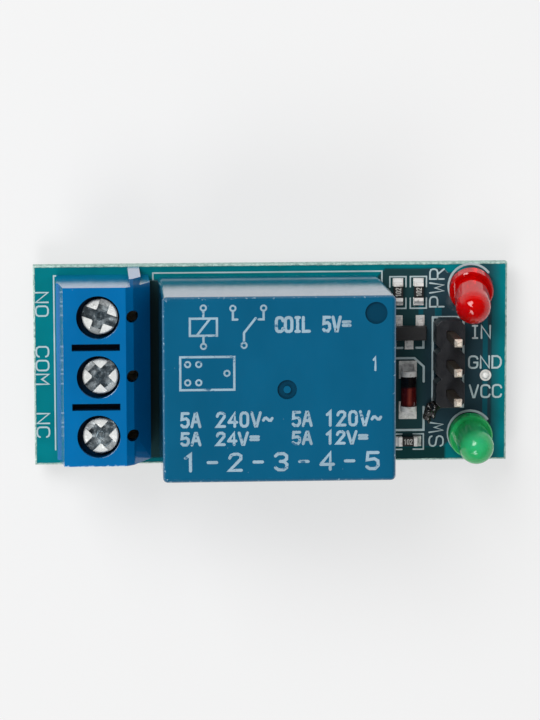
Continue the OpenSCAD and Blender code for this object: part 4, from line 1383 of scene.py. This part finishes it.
@dataclass
class Studio:
    """Floor, light and camera.

    Attributes:
        eye: Place of the camera in metres.
        look: Direction in which it looks.
        up: Its upward direction.
        lens: Focal length in millimetres.
        level: Brightness of the surroundings as the camera sees them.
        matt: Their brightness as it falls on matt surfaces.
        fade: In reflections, the heights where it starts and ends to fall, and its values there.
        reach: Half of the floor's side.
        depth: How far the floor lies under the trimmed leads.
    """

    eye: Triple = (-0.01606, 0.03650, 0.26619)
    look: Triple = (0.05994, -0.13613, -0.98888)
    up: Triple = (0.01051, 0.99069, -0.13574)
    lens: float = 153.6
    level: float = 0.855
    matt: float = 0.42
    fade: Tuple[float, float, float, float] = (0.02, 0.42, 0.90, 0.05)
    reach: float = 900.0
    depth: float = 0.02

    def camera(self) -> None:
        """Sets up the camera: its columns are right, up and backwards."""
        look, up = Vector(self.look).normalized(), Vector(self.up)
        right = look.cross(up).normalized()
        up = right.cross(look).normalized()
        data = bpy.data.cameras.new("camera")
        data.lens, data.sensor_width, data.sensor_fit = self.lens, 36.0, "AUTO"
        data.clip_start, data.clip_end = 0.01, 10.0
        data.dof.use_dof = False
        eye = link("camera", data)
        turn = Matrix((right, up, -look)).transposed().to_4x4()
        eye.matrix_world = Matrix.Translation(Vector(self.eye)) @ turn
        bpy.context.scene.camera = eye

    def lamp(self, name: str, place: Triple, size: float, power: float,
             aim: Triple = (0.0, 0.0, 0.01)) -> None:
        """Adds a square soft box.

        Args:
            name: Name of the lamp.
            place: Its middle in metres.
            size: Side in metres.
            power: Power in watts.
            aim: Point that it faces.
        """
        data = bpy.data.lights.new(name, "AREA")
        data.shape, data.size, data.energy = "SQUARE", size, power
        lamp = link(name, data)
        lamp.location = place
        lamp.rotation_euler = (Vector(aim) - Vector(place)).to_track_quat("-Z", "Y").to_euler()

    def world(self) -> None:
        """Makes the surroundings: pale to the camera, paler near the floor in reflections."""
        world = bpy.data.worlds.new("studio")
        bpy.context.scene.world = world
        world.use_nodes = True
        world.cycles.sampling_method = "NONE"
        g = Graph(world.node_tree)
        path = g.node("LightPath").outputs
        slope = g.span(g.part(g.node("TexCoord").outputs["Generated"], "Z"), *self.fade)
        soft = g.mix(path["Is Glossy Ray"], self.matt, slope, colour=False)
        seen = g.most(path["Is Camera Ray"], path["Is Transmission Ray"])
        ground = g.node("Background", Color=(1.0, 1.0, 1.0),
                        Strength=g.mix(seen, soft, self.level, colour=False))
        g.node("OutputWorld", Surface=ground.outputs[0])

    def floor(self) -> None:
        """Lays the pale floor a hair under the trimmed leads."""
        sheaf = Sheaf()
        x, y = np.meshgrid(*[np.linspace(-self.reach, self.reach, 13)] * 2)
        sheaf.grid(np.stack([x, y, np.full_like(x, -self.depth)], -1))
        g = Paint("floor")
        g.set(Base_Color=g.mix(g.noise(0.02, 2.0), (0.79, 0.79, 0.79), (0.81, 0.81, 0.81)),
              Roughness=0.9)
        g.surface.inputs["Specular IOR Level"].default_value = 0.0
        path = g.node("LightPath").outputs
        camera = path["Is Camera Ray"]
        seen = g.most(camera, g.most(path["Is Glossy Ray"], path["Is Transmission Ray"]))
        share = g.times(g.minus(seen, g.times(camera, 0.30)), 0.92)
        glow = g.node("Emission", Strength=self.level + 0.02)
        blend = g.node("MixShader")
        for socket, value in zip(blend.inputs, (share, g.surface.outputs[0], glow.outputs[0])):
            g.feed(socket, value)
        g.feed(g.output.inputs["Surface"], blend.outputs[0])
        floor = link("floor", sheaf.mesh("floor", g.material, smooth=False))

    def build(self) -> None:
        """Makes the camera, the light and the floor."""
        self.camera()
        self.world()
        self.lamp("key", (-0.20, 0.25, 0.42), 0.28, 2.0)
        self.lamp("fill", (-0.12, -0.27, 0.42), 0.22, 0.85)
        self.floor()
        bpy.context.scene.view_settings.view_transform = "Standard"


def main() -> None:
    """Builds and dresses every sub-assembly in order and notes the sizes."""
    logging.basicConfig(level=logging.INFO, format="%(message)s")
    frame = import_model()
    nodes = frame["nodes"]
    Studio().build()
    red = Epoxy((0.72, 0.001, 0.001), (0.95, 0.002, 0.001), 0.45, 0.1, 0.03, (17.25, 6.2))
    green = Epoxy((0.025, 0.50, 0.15), (0.06, 0.66, 0.30), 0.30, 0.6, 0.05, (17.25, -6.4))
    for part in (CircuitBoard(nodes), TerminalBlock(nodes), Relay(nodes), PinHeader(nodes),
                 ChipParts(nodes), Lamp(nodes, "power_lamp", red),
                 Lamp(nodes, "switch_lamp", green)):
        part.dress()
        part.build()
        LOG.info("%s done", type(part).__name__)


if __name__ == "__main__":
    main()
